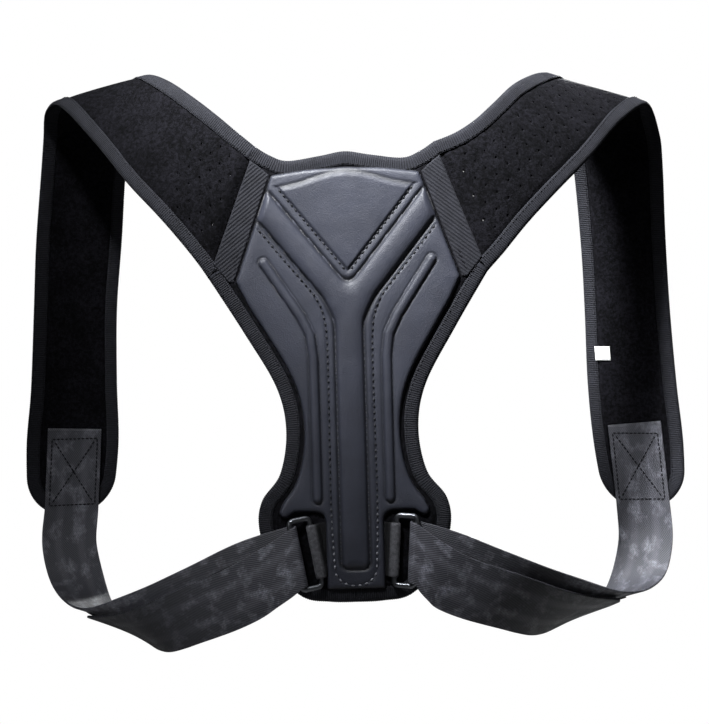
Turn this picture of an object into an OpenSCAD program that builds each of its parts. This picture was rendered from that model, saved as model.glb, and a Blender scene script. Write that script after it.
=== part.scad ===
// Back brace: a padded back panel with two shoulder loops that close under the
// arms with webbing straps, rings and hook-and-loop tails.
// X is to the wearer's right, Y is forward, Z is up. The origin is in the middle
// of the panel's body side. Side parts are drawn on the +X side, where x is the
// distance out from the spine, and are mirrored for the left.

/* [Binding] */
// Width of the binding tape on each face
bind_w = 9; // [7:0.5:9]
// Thickness of the binding tape
bind_t = 0.9; // [0.6:0.1:0.9]

/* [Padding] */
// Thickness of the panel and pads at their bound edge
edge_t = 5.6; // [5.2:0.1:6]
// Height that the pads swell over their edge, on the outer side
pad_crown = 2; // [0.5:0.1:3]
// Thickness of the fabric layers
fabric_t = 0.8; // [0.5:0.1:0.8]
// Corner radius of the pads' front ends
tip_r = 26; // [18:1:26]

/* [Moulded back] */
// Thickness of the moulded back between its ridges
mould_t = 2.8; // [2.4:0.1:3.2]
// Height of the Y-shaped ridge above the moulded back
ridge_h = 2.8; // [1.5:0.1:4]
// Height of the two side ribs above the moulded back
rib_h = 1.8; // [1:0.1:3]
// Width of the ridge's stem
stem_w = 17; // [14:0.5:18]
// Width of the ridge's arms
arm_w = 15; // [12:0.5:16]
// Width of the side ribs
rib_w = 6; // [4:0.5:7]
// Thickness of the leather over the moulding
skin_t = 0.8; // [0.5:0.1:1]
// Thickness of the spine plate
plate_t = 1.2; // [0.8:0.1:1.4]

/* [Webbing] */
// Width of the strap webbing
web_w = 38; // [34:1:38]
// Thickness of the strap webbing
web_t = 1.5; // [1.2:0.1:1.6]
// Thickness of the hook tape and of the loop tape
tape_t = 1; // [0.6:0.1:1.2]
// Length of the strap that is sewn to the pad
sewn_l = 60; // [50:1:62]

/* [Rings] */
// Wire diameter of the rings
wire_d = 3.4; // [3:0.1:3.6]
// Height of a ring between the middles of its short bars
ring_h = 43.5; // [42:0.5:44]
// Distance between a ring's two long bars
ring_w = 13; // [12:0.5:14]
// Lean of the left ring, its lower end towards the spine
left_lean = 10; // [0:1:12]
// Lean of the right ring
right_lean = 4; // [0:1:12]
// Lift of a ring's outer bar off the panel
ring_lift = 14; // [10:1:20]

/* [Stitching] */
// Distance from one stitch to the next
stitch_pitch = 4; // [3:0.5:6]
// Length of one stitch
stitch_l = 2.6; // [1.5:0.1:2.8]
// Thickness of the thread
thread_d = 0.6; // [0.4:0.1:0.8]

/* [Hidden] */
$fn = 32;

// Colours of the materials
leather = "#2b2f38";
plush = "#17171a";
tape_black = "#222328";
nylon = "#33353b";
foam_grey = "#4a4a4a";
thread = "#6a6d74";

// Small gaps left between soft parts that are not in the same stack of layers:
// in general, beside the folded binding of a pad, and between hook and loop tape
gap = 0.3;
fold_gap = 0.7;
closure_gap = 1;
// Radius of the ring's wire, and the slack inside the strap's loop round it
wire_r = wire_d / 2;
loop_r = wire_r + 1.05;
// Levels of the layers, outwards from the body side
lining_top = bind_t + fabric_t;
base_bottom = edge_t - bind_t - fabric_t;
flange_in = edge_t - bind_t;
mould_top = edge_t + mould_t;

// Spline points of the panel's outline, as [x, z], on the right
neck_points = [[0, 141], [16, 138.5], [36, 136], [47, 139.8], [56, 145.5]];
skirt_points = [[87.5, 63.5], [66, 28.5], [47, -5.5], [41.5, -33], [46, -60],
    [58, -77], [60, -95], [52, -120], [34, -137.5], [17, -141], [0, -141.5]];
// Corners of the moulded back's upper half, as [x, z], on the right
mould_corners = [[0, 131], [24, 130], [46.5, 127], [70.4, 60.5]];
// Distance from the panel's edge to the moulded back's edge
mould_inset = 11.3;
// Recess of the moulded back round a ring: its top, the wing beside it, its inner
// side and its foot
recess_top = -84.5;
wing_foot = [[47.5, -84], [46, -87.5], [42, -88], [37.5, recess_top]];
recess_in = 18.5;
recess_foot = -133;
// Centre lines of the Y ridge's arm and of the side rib, as [x, z]
arm_line = [[5, 49], [46.8, 101]];
stem_line = [[0, 48], [0, -114]];
rib_line = [[52.5, 72], [29.5, 37], [23, 18], [22.7, -76]];
// Stitch lines of the moulded back, as [x, z]
chest_stitches = [[0.5, 66.3], [43, 119.2]];
flank_stitches = [[55.5, 93.4], [21, 50.5], [15, 36], [14, 12], [14.5, -76], [13, -124]];

// Each row of a shoulder pad holds the point on its neck edge and the point on
// its armhole edge, from the seam on the panel, over the shoulder, to the front end
left_rows = [
    [[56, 0, 145.5], [87.5, 0, 63.5]],
    [[66.5, 1, 154.8], [98, 1, 79]],
    [[80, 6, 167], [117, 6, 102.5]],
    [[95, 17, 179.5], [138, 18, 125.5]],
    [[110.5, 34, 191], [160.5, 38, 153]],
    [[125, 57, 198], [187.5, 64, 181]],
    [[135, 84, 198], [202, 88, 180.5]],
    [[144, 110, 183.5], [207, 104, 164.5]],
    [[153.5, 128, 149], [211, 112, 136]],
    [[159.5, 139, 98], [216, 118, 95]],
    [[165, 145, 50], [219.5, 122, 47]],
    [[167, 149, 0], [223.5, 125.5, -5]],
    [[167.5, 151, -45], [228, 127, -44]],
    [[173.5, 149.5, -92], [228.5, 127.5, -92]]];
right_rows = [
    [[56, 0, 145.5], [87.5, 0, 63.5]],
    [[69, 1, 150.5], [97.5, 1, 74.5]],
    [[81.5, 5, 158.5], [114.5, 6, 94.5]],
    [[93.5, 13, 169.5], [133, 18, 113.5]],
    [[108, 27, 183], [155, 38, 135]],
    [[126, 52, 191.5], [180, 62, 161.5]],
    [[137, 84, 190.5], [201, 86, 173]],
    [[145, 110, 175], [210.5, 103, 155.5]],
    [[153, 128, 144], [213, 112, 133]],
    [[158, 139, 89], [214, 118, 90]],
    [[160, 145, 41], [216, 122, 40]],
    [[161, 148.5, -10], [219.5, 124.5, -12]],
    [[164.5, 151, -54], [223.5, 127, -55]],
    [[171.5, 149.5, -99], [223.5, 128.5, -98]]];
// Distances from a pad's front end at which its last rows lie
tip_steps = [36, 27, 19, 12, 6.5, 3, 0.8, 0];
last_span = 47;

// Route of each strap from its ring to its pad, and the direction across it
left_route = [[67, -7, -120], [100, 7, -135.5], [135, 32, -150.5], [165, 70, -157],
    [184.5, 108, -152], [196.5, 130, -135.5], [202, 135, -112]];
right_route = [[59, -7, -117.5], [90, 6, -131.5], [123, 32, -145.5], [155.5, 70, -154],
    [178, 108, -153.5], [191.5, 130, -141], [197.5, 136, -119.5]];
across_route = [[0.4, 0, 0.92], [0.42, -0.1, 0.9], [0.5, -0.3, 0.8], [0.7, -0.57, 0.43],
    [0.8, -0.55, 0.2], [0.93, -0.35, 0.05], [0.95, -0.32, 0]];
// Stations of the strap between two points of its route
strap_steps = 3;
// Stations at which the tapes and the tail end, counted from the ring
loop_tape_span = [3, 14];
hook_tape_span = [7, 13];
tail_end = 14;
// Distance that the tail lies below the strap that it is closed on, and its
// distances at its first stations, from the ring
tail_drop = 9;
first_drops = [2, 6, 10, 12, 12, 11, 10];
// Thickness of the gussets, and the plate's distance inside the ridge
gusset_t = 1;
plate_slim = 2.5;
// Corner radius of a ring, and the middle of its inner bar, on the right
ring_corner = 2.6;
bar_at = [25, -(edge_t + wire_r + 1.45), -109];
// Width, thickness and length of a ring's tab
tab_w = 34;
tab_t = 1.25;
tab_reach = 14;
// Box of stitches on a strap's sewn end: width, length, distance from the pad's
// end, and the gap between its corners and the cross inside it
box_w = web_w - 6;
box_l = sewn_l - 14;
box_foot = 7;
cross_gap = 2;
// Care label: size, the row above it, and its distance from the pad's edge and
// off its surface
label_size = [11, 10, 0.4];
label_row = 10;
label_in = 7.5;
label_lift = 0.6;

// ---- vectors and curves ----

function unit(v) = v / norm(v);
function mix(a, b, t) = a + (b - a) * t;
function ease(t) = t * t * (3 - 2 * t);
function flip2(p) = [-p[0], p[1]];
function back_to_front(list) = [for (i = [len(list) - 1 : -1 : 0]) list[i]];
function slice(list, first, last) = [for (i = [first : last]) list[i]];

function curve_point(a, b, c, d, t) =
    0.5 * (2 * b + (c - a) * t + (2 * a - 5 * b + 4 * c - d) * t * t
        + (3 * b - a - 3 * c + d) * t * t * t);
function past_end(p) = 2 * p[len(p) - 1] - p[len(p) - 2];
function curve_at(p, i, t) = curve_point(p[max(i - 1, 0)], p[i], p[i + 1],
    i + 2 < len(p) ? p[i + 2] : past_end(p), t);
function spline(p, n) = concat(
    [for (i = [0 : len(p) - 2], k = [0 : n - 1]) curve_at(p, i, k / n)],
    [p[len(p) - 1]]);
function heading(c, i) = unit(c[min(i + 1, len(c) - 1)] - c[max(i - 1, 0)]);

// ---- outline of the panel ----

// Both run clockwise as seen from behind, so that the inside is on their right
neck = spline(concat(back_to_front([for (p = neck_points) flip2(p)]),
    slice(neck_points, 1, 4)), 3);
skirt = spline(concat(skirt_points,
    [for (p = back_to_front(slice(skirt_points, 0, 9))) flip2(p)]), 3);
seam_dir = unit(skirt_points[0] - neck_points[4]);
side_end = 24;
skirt_last = len(skirt) - 1;

// A curve moved inwards by d, its two ends sliding along given directions
function inset(c, d, first, last) = [for (i = [0 : len(c) - 1])
    c[i] + d * (i == 0 ? first : i == len(c) - 1 ? last
        : [heading(c, i)[1], -heading(c, i)[0]])];
function neck_in(d) = inset(neck, d, flip2(seam_dir), seam_dir);
function skirt_in(d) = inset(skirt, d, -seam_dir, flip2(-seam_dir));
function panel_in(d) = concat(neck_in(d), skirt_in(d));
function band(outer, inner, first, last) =
    concat(slice(outer, first, last), back_to_front(slice(inner, first, last)));

// A closed outline moved inwards by d, each corner along its mitre
function side_normal(a, b) = [(b - a)[1], -(b - a)[0]] / norm(b - a);
function mitre(a, b) = (a + b) / (1 + a * b);
function shrink(p, d) = [for (i = [0 : len(p) - 1])
    let (last = p[(i + len(p) - 1) % len(p)], next = p[(i + 1) % len(p)])
    p[i] + d * mitre(side_normal(last, p[i]), side_normal(p[i], next))];

mould_half = concat(mould_corners, slice(skirt_in(mould_inset), 2, 14),
    wing_foot, [[recess_in + 5, recess_top], [recess_in + 1.5, recess_top - 1.5],
    [recess_in, recess_top - 5], [recess_in, recess_foot]]);
mould_outline = concat(mould_half,
    [for (p = back_to_front(slice(mould_half, 1, len(mould_half) - 1))) flip2(p)]);

// An outline in X and Z, given a thickness from one level to another
module slab(from, to) {
    rotate([90, 0, 0])
        translate([0, 0, from])
            linear_extrude(to - from)
                children();
}

module on_side(side) {
    mirror([side < 0 ? 1 : 0, 0, 0])
        children();
}

// ---- layers of the back panel ----

module back_lining() {
    color(plush) {
        slab(0, bind_t)
            polygon(panel_in(bind_w));
        slab(bind_t, lining_top)
            polygon(panel_in(bind_t));
    }
}

module back_foam() {
    color(foam_grey)
        slab(lining_top, base_bottom)
            polygon(panel_in(bind_t));
}

module back_base() {
    color(plush) {
        slab(base_bottom, flange_in)
            polygon(panel_in(bind_t));
        slab(flange_in, edge_t)
            polygon(panel_in(bind_w));
    }
}

// Binding tape folded round a stretch of the panel's edge
module binding(outer, web_line, flange_line, first, last) {
    color(tape_black) {
        slab(0, bind_t)
            polygon(band(outer, flange_line, first, last));
        slab(bind_t, flange_in)
            polygon(band(outer, web_line, first, last));
        slab(flange_in, edge_t)
            polygon(band(outer, flange_line, first, last));
    }
}

module neck_binding() {
    binding(neck, neck_in(bind_t), neck_in(bind_w), 0, len(neck) - 1);
}

module side_binding(side) {
    on_side(side)
        binding(skirt, skirt_in(bind_t), skirt_in(bind_w), 0, side_end);
}

module bottom_binding() {
    binding(skirt, skirt_in(bind_t), skirt_in(bind_w), side_end, skirt_last - side_end);
}

// Ribbed tape over the seam between the panel and a shoulder pad
module gusset(side) {
    top = neck_in(bind_w + gap);
    foot = skirt_in(bind_w + gap);
    on_side(side)
        color(tape_black)
            slab(edge_t, edge_t + gusset_t)
                polygon(concat(
                    [top[len(top) - 1], foot[0], foot[1]],
                    [mould_corners[3] + [1.2, 0], mould_corners[2] + [1.2, 0.2]],
                    [top[len(top) - 3]]));
}

// ---- moulded back ----

// A bar with blunt round ends
module bar_2d(a, b, w) {
    along = b - a;
    translate(a)
        rotate(atan2(along[1], along[0])) {
            translate([0, -w / 2])
                square([norm(along), w]);
            for (x = [0, norm(along)])
                translate([x, 0])
                    circle(d = w, $fn = 12);
        }
}

module ridge_2d(slim) {
    bar_2d(stem_line[0], stem_line[1], stem_w - 2 * slim);
    for (side = [-1, 1])
        mirror([side < 0 ? 1 : 0, 0])
            bar_2d(arm_line[0], arm_line[1], arm_w - 2 * slim);
}

module ribs_2d(slim) {
    for (side = [-1, 1])
        mirror([side < 0 ? 1 : 0, 0])
            for (i = [0 : len(rib_line) - 2])
                bar_2d(rib_line[i], rib_line[i + 1], rib_w - 2 * slim);
}

module core_body(from) {
    slab(from, mould_top - skin_t)
        polygon(shrink(mould_outline, 1.5 * skin_t));
    slab(from, mould_top + ridge_h - skin_t)
        ridge_2d(skin_t);
    slab(from, mould_top + rib_h - skin_t)
        ribs_2d(skin_t);
}

module plate_body() {
    slab(edge_t, edge_t + plate_t)
        ridge_2d(plate_slim);
}

module tab_leaves() {
    for (side = [-1, 1])
        on_side(side)
            tab_leaf(lean_of(side));
}

module spine_plate() {
    color("#111214")
        plate_body();
}

module moulded_core() {
    color(foam_grey)
        difference() {
            core_body(edge_t);
            plate_body();
            tab_leaves();
        }
}

module moulded_cover() {
    color(leather)
        difference() {
            union() {
                slab(edge_t, mould_top)
                    polygon(mould_outline);
                slab(edge_t, mould_top + ridge_h)
                    ridge_2d(0);
                slab(edge_t, mould_top + rib_h)
                    ribs_2d(0);
            }
            core_body(edge_t - 1);
            tab_leaves();
        }
}

module stitch(a, b) {
    along = b - a;
    slab(mould_top + 0.05, mould_top + 0.05 + thread_d)
        translate((a + b) / 2)
            rotate(atan2(along[1], along[0]))
                square([stitch_l, thread_d], center = true);
}

module stitch_line(points) {
    for (i = [0 : len(points) - 2]) {
        count = round(norm(points[i + 1] - points[i]) / stitch_pitch);
        for (k = [0 : count - 1])
            stitch(mix(points[i], points[i + 1], k / count),
                mix(points[i], points[i + 1], (k + 1) / count));
    }
}

module cover_stitching() {
    foot = flank_stitches[len(flank_stitches) - 1];
    color(thread) {
        for (side = [-1, 1])
            mirror([side < 0 ? 1 : 0, 0, 0]) {
                stitch_line([chest_stitches[0] + [2, 2.5], chest_stitches[1]]);
                stitch_line(flank_stitches);
                stitch_line([foot + [-1, -3], foot + [-9, -5.5]]);
            }
    }
}

// ---- surfaces of the shoulder pads and straps ----

// A layer between two grids of points that have the same rows and columns
module layer(low, high) {
    rows = len(low);
    cols = len(low[0]);
    count = rows * cols;
    function at(i, j) = i * cols + j;
    faces_low = [for (i = [0 : rows - 2], j = [0 : cols - 2])
        each [[at(i, j), at(i + 1, j + 1), at(i + 1, j)],
            [at(i, j), at(i, j + 1), at(i + 1, j + 1)]]];
    faces_high = [for (f = faces_low) [f[0] + count, f[2] + count, f[1] + count]];
    edge = concat(
        [for (j = [0 : cols - 1]) at(0, j)],
        [for (i = [1 : rows - 1]) at(i, cols - 1)],
        [for (j = [cols - 2 : -1 : 0]) at(rows - 1, j)],
        [for (i = [rows - 2 : -1 : 1]) at(i, 0)]);
    walls = [for (k = [0 : len(edge) - 1])
        let (a = edge[k], b = edge[(k + 1) % len(edge)])
        each [[a, a + count, b + count], [a, b + count, b]]];
    polyhedron([for (row = low) each row, for (row = high) each row],
        concat(faces_low, faces_high, walls));
}

// Rows of a pad, moved in from its outline by e: [neck side, arm side, outward]
function row_at(rows, i, t) =
    [curve_at([for (r = rows) r[0]], i, t), curve_at([for (r = rows) r[1]], i, t)];
function corner_in(k, r) = k < r ? r - sqrt(r * r - (r - k) * (r - k)) : 0;
function plain_rows(rows, e) = concat(
    [for (i = [0 : len(rows) - 3], k = [0 : 1]) concat(row_at(rows, i, k / 2), e)],
    [for (k = tip_steps) concat(row_at(rows, len(rows) - 2, 1 - (k + e) / last_span),
        e + corner_in(k, tip_r - e))]);
function middle(row) = (row[0] + row[1]) / 2;
function pad_rows(rows, e) =
    let (plain = plain_rows(rows, e), last = len(plain) - 1)
    [for (i = [0 : last])
        let (row = plain[i],
            across = unit(row[1] - row[0]),
            along = middle(plain[min(i + 1, last)]) - middle(plain[max(i - 1, 0)]),
            out = i == 0 ? [0, -1, 0] : unit(cross(across, along)))
        [row[0] + across * row[2], row[1] - across * row[2], out]];

// Columns across a pad, and how far each swells
pad_columns = [0, 0.18, 0.31, 0.5, 0.69, 0.82, 1];
pad_swell = [0, 0, 0.6, 1, 0.6, 0, 0];
function swell_at(i, count) = min(1, i / 3, max(0, (count - len(tip_steps) + 1 - i) / 2));
function pad_grid(rows, level, swell) =
    [for (i = [0 : len(rows) - 1])
        [for (j = [0 : len(pad_columns) - 1])
            mix(rows[i][0], rows[i][1], pad_columns[j])
                + rows[i][2] * (level + swell * pad_swell[j] * swell_at(i, len(rows)))]];

pad_inset = bind_t + fold_gap;
pad_bottom = bind_t + fold_gap;
pad_top = edge_t - bind_t - fold_gap;

module pad_lining(side, rows) {
    grid = pad_rows(rows, pad_inset);
    on_side(side)
        color(plush)
            layer(pad_grid(grid, pad_bottom, -pad_bottom),
                pad_grid(grid, pad_bottom + fabric_t, -pad_bottom));
}

module pad_foam(side, rows) {
    grid = pad_rows(rows, pad_inset);
    on_side(side)
        color(foam_grey)
            layer(pad_grid(grid, pad_bottom + fabric_t, -pad_bottom),
                pad_grid(grid, pad_top - fabric_t, pad_crown));
}

module pad_cover(side, rows) {
    grid = pad_rows(rows, pad_inset);
    on_side(side)
        color(plush)
            layer(pad_grid(grid, pad_top - fabric_t, pad_crown),
                pad_grid(grid, pad_top, pad_crown));
}

// Section of the folded binding tape, as [distance in from the edge, level]
binding_section = [[0, 0], [bind_w, 0], [bind_w, bind_t], [bind_t, bind_t],
    [bind_t, flange_in], [bind_w, flange_in], [bind_w, edge_t], [0, edge_t]];

// Way in from a pad's edge: along its row, or square to the edge round the corners
function pull_in(across, run, out) =
    let (slant = norm(cross(across, run)))
    slant > 0.6 ? across / slant : unit(cross(run, out));

module pad_binding(side, rows) {
    grid = pad_rows(rows, 0);
    last = len(grid) - 1;
    line = concat([for (r = grid) r[0]], [for (r = back_to_front(grid)) r[1]]);
    out = concat([for (r = grid) r[2]], [for (r = back_to_front(grid)) r[2]]);
    across = concat([for (r = grid) unit(r[1] - r[0])],
        [for (r = back_to_front(grid)) unit(r[0] - r[1])]);
    end = len(line) - 1;
    inward = [for (i = [0 : end])
        i == 0 || i == end ? across[i] : pull_in(across[i], heading(line, i), out[i])];
    size = len(binding_section);
    points = [for (i = [0 : end], s = binding_section)
        line[i] + inward[i] * s[0] + out[i] * s[1]];
    sides = [for (i = [0 : end - 1], j = [0 : size - 1])
        let (a = i * size + j, b = i * size + (j + 1) % size)
        each [[a, b, b + size], [a, b + size, a + size]]];
    on_side(side)
        color(tape_black)
            polyhedron(points, concat(sides,
                [[for (j = [size - 1 : -1 : 0]) j], [for (j = [0 : size - 1]) end * size + j]]));
}

// ---- rings and their tabs ----

function lean_of(side) = side < 0 ? left_lean : right_lean;
function bar_dir(lean) = [sin(lean), 0, cos(lean)];
function ring_dir(lean) = [cos(ring_lift) * cos(lean), -sin(ring_lift),
    -cos(ring_lift) * sin(lean)];
function loop_at(lean) = bar_at + ring_w * ring_dir(lean);

// Places a shape drawn with the inner bar along Z and the panel behind it in +Y
module at_bar(lean) {
    translate(bar_at)
        rotate([0, lean, 0])
            children();
}

module tab_leaf(lean) {
    at_bar(lean)
        translate([-tab_reach, wire_r + 0.05, -tab_w / 2])
            cube([tab_reach, tab_t, tab_w]);
}

module ring_tab(side) {
    on_side(side)
        color("#8b8d92")
            union() {
                tab_leaf(lean_of(side));
                at_bar(lean_of(side))
                    difference() {
                        cylinder(r = wire_r + 0.05 + tab_t, h = tab_w, center = true);
                        cylinder(r = wire_r + 0.05, h = tab_w + 2, center = true);
                    }
            }
}

module ring(side) {
    long = ring_h - 2 * ring_corner;
    short = ring_w - 2 * ring_corner;
    on_side(side)
        color("#0c0d0f")
            at_bar(lean_of(side))
                rotate([0, 0, -ring_lift]) {
                    for (x = [0, ring_w])
                        translate([x, 0, 0])
                            cylinder(d = wire_d, h = long, center = true);
                    for (up = [-1, 1])
                        mirror([0, 0, up < 0 ? 1 : 0])
                            translate([0, 0, ring_h / 2]) {
                                translate([ring_w / 2, 0, 0])
                                    rotate([0, 90, 0])
                                        cylinder(d = wire_d, h = short, center = true);
                                translate([ring_corner, 0, -ring_corner])
                                    ring_bend(180);
                                translate([ring_w - ring_corner, 0, -ring_corner])
                                    ring_bend(90);
                            }
                }
}

// A quarter turn of wire in the ring's plane
module ring_bend(turn) {
    rotate([90, 0, 0])
        rotate([0, 0, turn - 90])
            rotate_extrude(angle = 90)
                translate([ring_corner, 0])
                    circle(d = wire_d);
}

// ---- straps ----

// Point on a pad's body side, a distance d up from its front end
function pad_spot(rows, d) = let (r = row_at(rows, len(rows) - 2, 1 - d / last_span),
    lower = row_at(rows, len(rows) - 2, 1 - (d + 5) / last_span),
    across = unit(r[1] - r[0]))
    [middle(r), across, unit(cross(across, middle(r) - middle(lower)))];
sewn_steps = [3, sewn_l / 3, sewn_l * 2 / 3, sewn_l];

// Stations of the strap from its ring to its sewn end: [point, across, outward]
function strap_stations(rows, route, lean) =
    let (bar = loop_at(lean),
        up = bar_dir(lean),
        away = route[0] - bar,
        start = unit(away - up * (away * up)),
        out = cross(start, up),
        sewn = [for (d = sewn_steps) pad_spot(rows, d)],
        points = concat([bar - out * (loop_r + web_t / 2)], route,
            [for (s = sewn) s[0] - s[2] * (fold_gap + web_t / 2)]),
        turns = concat([up], across_route, [for (s = sewn) s[1]]),
        line = spline(points, strap_steps),
        turn = spline(turns, strap_steps))
    [for (i = [0 : len(line) - 1])
        let (along = unit(mix(start, heading(line, i), min(1, i / strap_steps))),
            across = unit(turn[i] - along * (turn[i] * along)))
        [line[i], across, cross(along, across)]];

// Points across a strap or tape at one level
function web_row(station, columns, shift, level) = [for (c = columns)
    station[0] + station[1] * (c + shift) + station[2] * level];
tape_half = web_w / 2 - 2;
tape_step = tape_half - tail_drop;
web_columns = [-web_w / 2, -tape_half, -tape_step, tape_step, tape_half, web_w / 2];
loop_columns = [-tape_half, -tape_step, tape_step];
hook_columns = [-tape_step, tape_step, tape_half];

// Half turn of webbing round the ring's outer bar, at a radius r
function turn_rows(first, bar, r) =
    let (along = cross(first[1], first[2]))
    [for (turn = [180 : -22.5 : 22.5])
        let (shift = first_drops[0] * pow(turn / 180, 2))
        [for (c = web_columns)
            bar + first[1] * (c - shift) - r * (cos(turn) * first[2] + sin(turn) * along)]];

module strap_run(side, rows, route) {
    stations = strap_stations(rows, route, lean_of(side));
    bar = loop_at(lean_of(side));
    low = [for (s = stations) web_row(s, web_columns, 0, -web_t / 2)];
    high = [for (s = stations) web_row(s, web_columns, 0, web_t / 2)];
    on_side(side)
        color(nylon)
            layer(concat(turn_rows(stations[0], bar, loop_r + web_t), low),
                concat(turn_rows(stations[0], bar, loop_r), high));
}

// Height of the tail above the strap, and how far it has dropped, at a station
tail_rise = web_t + 2 * tape_t + closure_gap;
function rise_at(i) = mix(2 * loop_r + web_t, tail_rise, ease(min(1, max(0, i - 1) / 3)));
function drop_at(i) = i < len(first_drops) ? -first_drops[i] : -tail_drop;

function tail_rows(stations, columns, level, first, last) =
    [for (i = [first : last])
        web_row(i == 0 ? nudged(stations[0]) : stations[i], columns, drop_at(i),
            rise_at(i) + level)];
function nudged(s) = [s[0] + 0.6 * cross(s[1], s[2]), s[1], s[2]];

module strap_tail(side, rows, route) {
    stations = strap_stations(rows, route, lean_of(side));
    on_side(side)
        color(nylon)
            layer(tail_rows(stations, web_columns, -web_t / 2, 0, tail_end),
                tail_rows(stations, web_columns, web_t / 2, 0, tail_end));
}

module hook_tape(side, rows, route) {
    stations = strap_stations(rows, route, lean_of(side));
    on_side(side)
        color("#0f0f10")
            layer(tail_rows(stations, hook_columns, -web_t / 2 - tape_t,
                    hook_tape_span[0], hook_tape_span[1]),
                tail_rows(stations, hook_columns, -web_t / 2,
                    hook_tape_span[0], hook_tape_span[1]));
}

module loop_tape(side, rows, route) {
    stations = slice(strap_stations(rows, route, lean_of(side)),
        loop_tape_span[0], loop_tape_span[1]);
    on_side(side)
        color("#1a1a1c")
            layer([for (s = stations) web_row(s, loop_columns, 0, web_t / 2)],
                [for (s = stations) web_row(s, loop_columns, 0, web_t / 2 + tape_t)]);
}

// ---- stitching of the strap ends, and the care label ----

// A box of thread on the body side of the strap, a distance d up from the pad's end
module sewn_stitch(rows, d, c, angle) {
    spot = pad_spot(rows, d);
    along = cross(spot[1], spot[2]);
    level = fold_gap + web_t + 0.15;
    at = spot[0] + spot[1] * c - spot[2] * level;
    multmatrix([[spot[1][0], along[0], -spot[2][0], at[0]],
        [spot[1][1], along[1], -spot[2][1], at[1]],
        [spot[1][2], along[2], -spot[2][2], at[2]],
        [0, 0, 0, 1]])
        rotate([0, 0, angle])
            translate([-stitch_l / 2, -thread_d / 2, 0])
                cube([stitch_l, thread_d, thread_d]);
}

module sewn_line(rows, a, b) {
    count = round(norm(b - a) / stitch_pitch);
    angle = atan2(b[1] - a[1], b[0] - a[0]);
    for (k = [0 : count - 1]) {
        p = mix(a, b, (k + 0.5) / count);
        sewn_stitch(rows, p[1], p[0], angle);
    }
}

module box_stitching(side, rows) {
    left = -box_w / 2;
    right = box_w / 2;
    top = box_foot + box_l;
    middle = box_foot + box_l / 2;
    on_side(side)
        color(thread) {
            for (y = [box_foot, top])
                sewn_line(rows, [left, y], [right, y]);
            for (x = [left, right])
                sewn_line(rows, [x, box_foot], [x, top]);
            for (x = [-1, 1], y = [-1, 1])
                sewn_line(rows, [x * cross_gap, middle + y * cross_gap],
                    [x * (right - cross_gap), middle + y * (box_l / 2 - cross_gap)]);
        }
}

module care_label() {
    rows = right_rows;
    r = row_at(rows, label_row, 0.7);
    higher = row_at(rows, label_row, 0);
    across = unit(r[1] - r[0]);
    out = unit(cross(across, middle(r) - middle(higher)));
    along = cross(across, out);
    at = r[0] + across * label_in - out * label_lift;
    color("white")
        multmatrix([[across[0], along[0], -out[0], at[0]],
            [across[1], along[1], -out[1], at[1]],
            [across[2], along[2], -out[2], at[2]],
            [0, 0, 0, 1]])
            cube(label_size);
}

back_lining();
back_foam();
back_base();
spine_plate();
moulded_core();
moulded_cover();
neck_binding();
side_binding(-1);  // left_side_binding
side_binding(1);  // right_side_binding
bottom_binding();
gusset(-1);  // left_gusset
gusset(1);  // right_gusset
pad_lining(-1, left_rows);  // left_pad_lining
pad_lining(1, right_rows);  // right_pad_lining
pad_foam(-1, left_rows);  // left_pad_foam
pad_foam(1, right_rows);  // right_pad_foam
pad_cover(-1, left_rows);  // left_pad_cover
pad_cover(1, right_rows);  // right_pad_cover
pad_binding(-1, left_rows);  // left_pad_binding
pad_binding(1, right_rows);  // right_pad_binding
ring_tab(-1);  // left_ring_tab
ring_tab(1);  // right_ring_tab
ring(-1);  // left_ring
ring(1);  // right_ring
strap_run(-1, left_rows, left_route);  // left_strap_run
strap_run(1, right_rows, right_route);  // right_strap_run
strap_tail(-1, left_rows, left_route);  // left_strap_tail
strap_tail(1, right_rows, right_route);  // right_strap_tail
loop_tape(-1, left_rows, left_route);  // left_loop_tape
loop_tape(1, right_rows, right_route);  // right_loop_tape
hook_tape(-1, left_rows, left_route);  // left_hook_tape
hook_tape(1, right_rows, right_route);  // right_hook_tape
cover_stitching();
box_stitching(-1, left_rows);  // left_box_stitching
box_stitching(1, right_rows);  // right_box_stitching
care_label();
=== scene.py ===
import math

import bmesh
import bpy
import numpy as np
from mathutils import Matrix, Vector
from mathutils.geometry import delaunay_2d_cdt


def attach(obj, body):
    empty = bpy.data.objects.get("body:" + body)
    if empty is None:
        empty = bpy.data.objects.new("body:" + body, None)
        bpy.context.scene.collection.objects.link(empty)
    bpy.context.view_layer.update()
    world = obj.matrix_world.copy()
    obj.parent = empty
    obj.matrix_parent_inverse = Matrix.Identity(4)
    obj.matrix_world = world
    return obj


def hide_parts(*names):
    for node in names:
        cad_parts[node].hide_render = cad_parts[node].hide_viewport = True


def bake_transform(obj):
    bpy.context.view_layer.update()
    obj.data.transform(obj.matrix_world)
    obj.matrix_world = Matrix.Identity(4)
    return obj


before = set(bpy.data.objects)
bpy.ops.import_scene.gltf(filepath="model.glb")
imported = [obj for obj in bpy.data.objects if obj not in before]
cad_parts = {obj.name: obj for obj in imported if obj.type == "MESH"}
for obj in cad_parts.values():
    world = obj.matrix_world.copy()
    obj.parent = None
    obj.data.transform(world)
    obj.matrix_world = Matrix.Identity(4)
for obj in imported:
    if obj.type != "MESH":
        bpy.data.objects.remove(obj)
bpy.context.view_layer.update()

# The back brace's looks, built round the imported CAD. Lengths are in millimetres until a
# mesh is made. Side parts are worked out on the +X side, as [out, forward, up], and
# mirrored for the left. "Level" is the distance outwards from the body side.

MM = 0.001
SCENE = bpy.context.scene

# ---- sizes, as in the CAD ----

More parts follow.
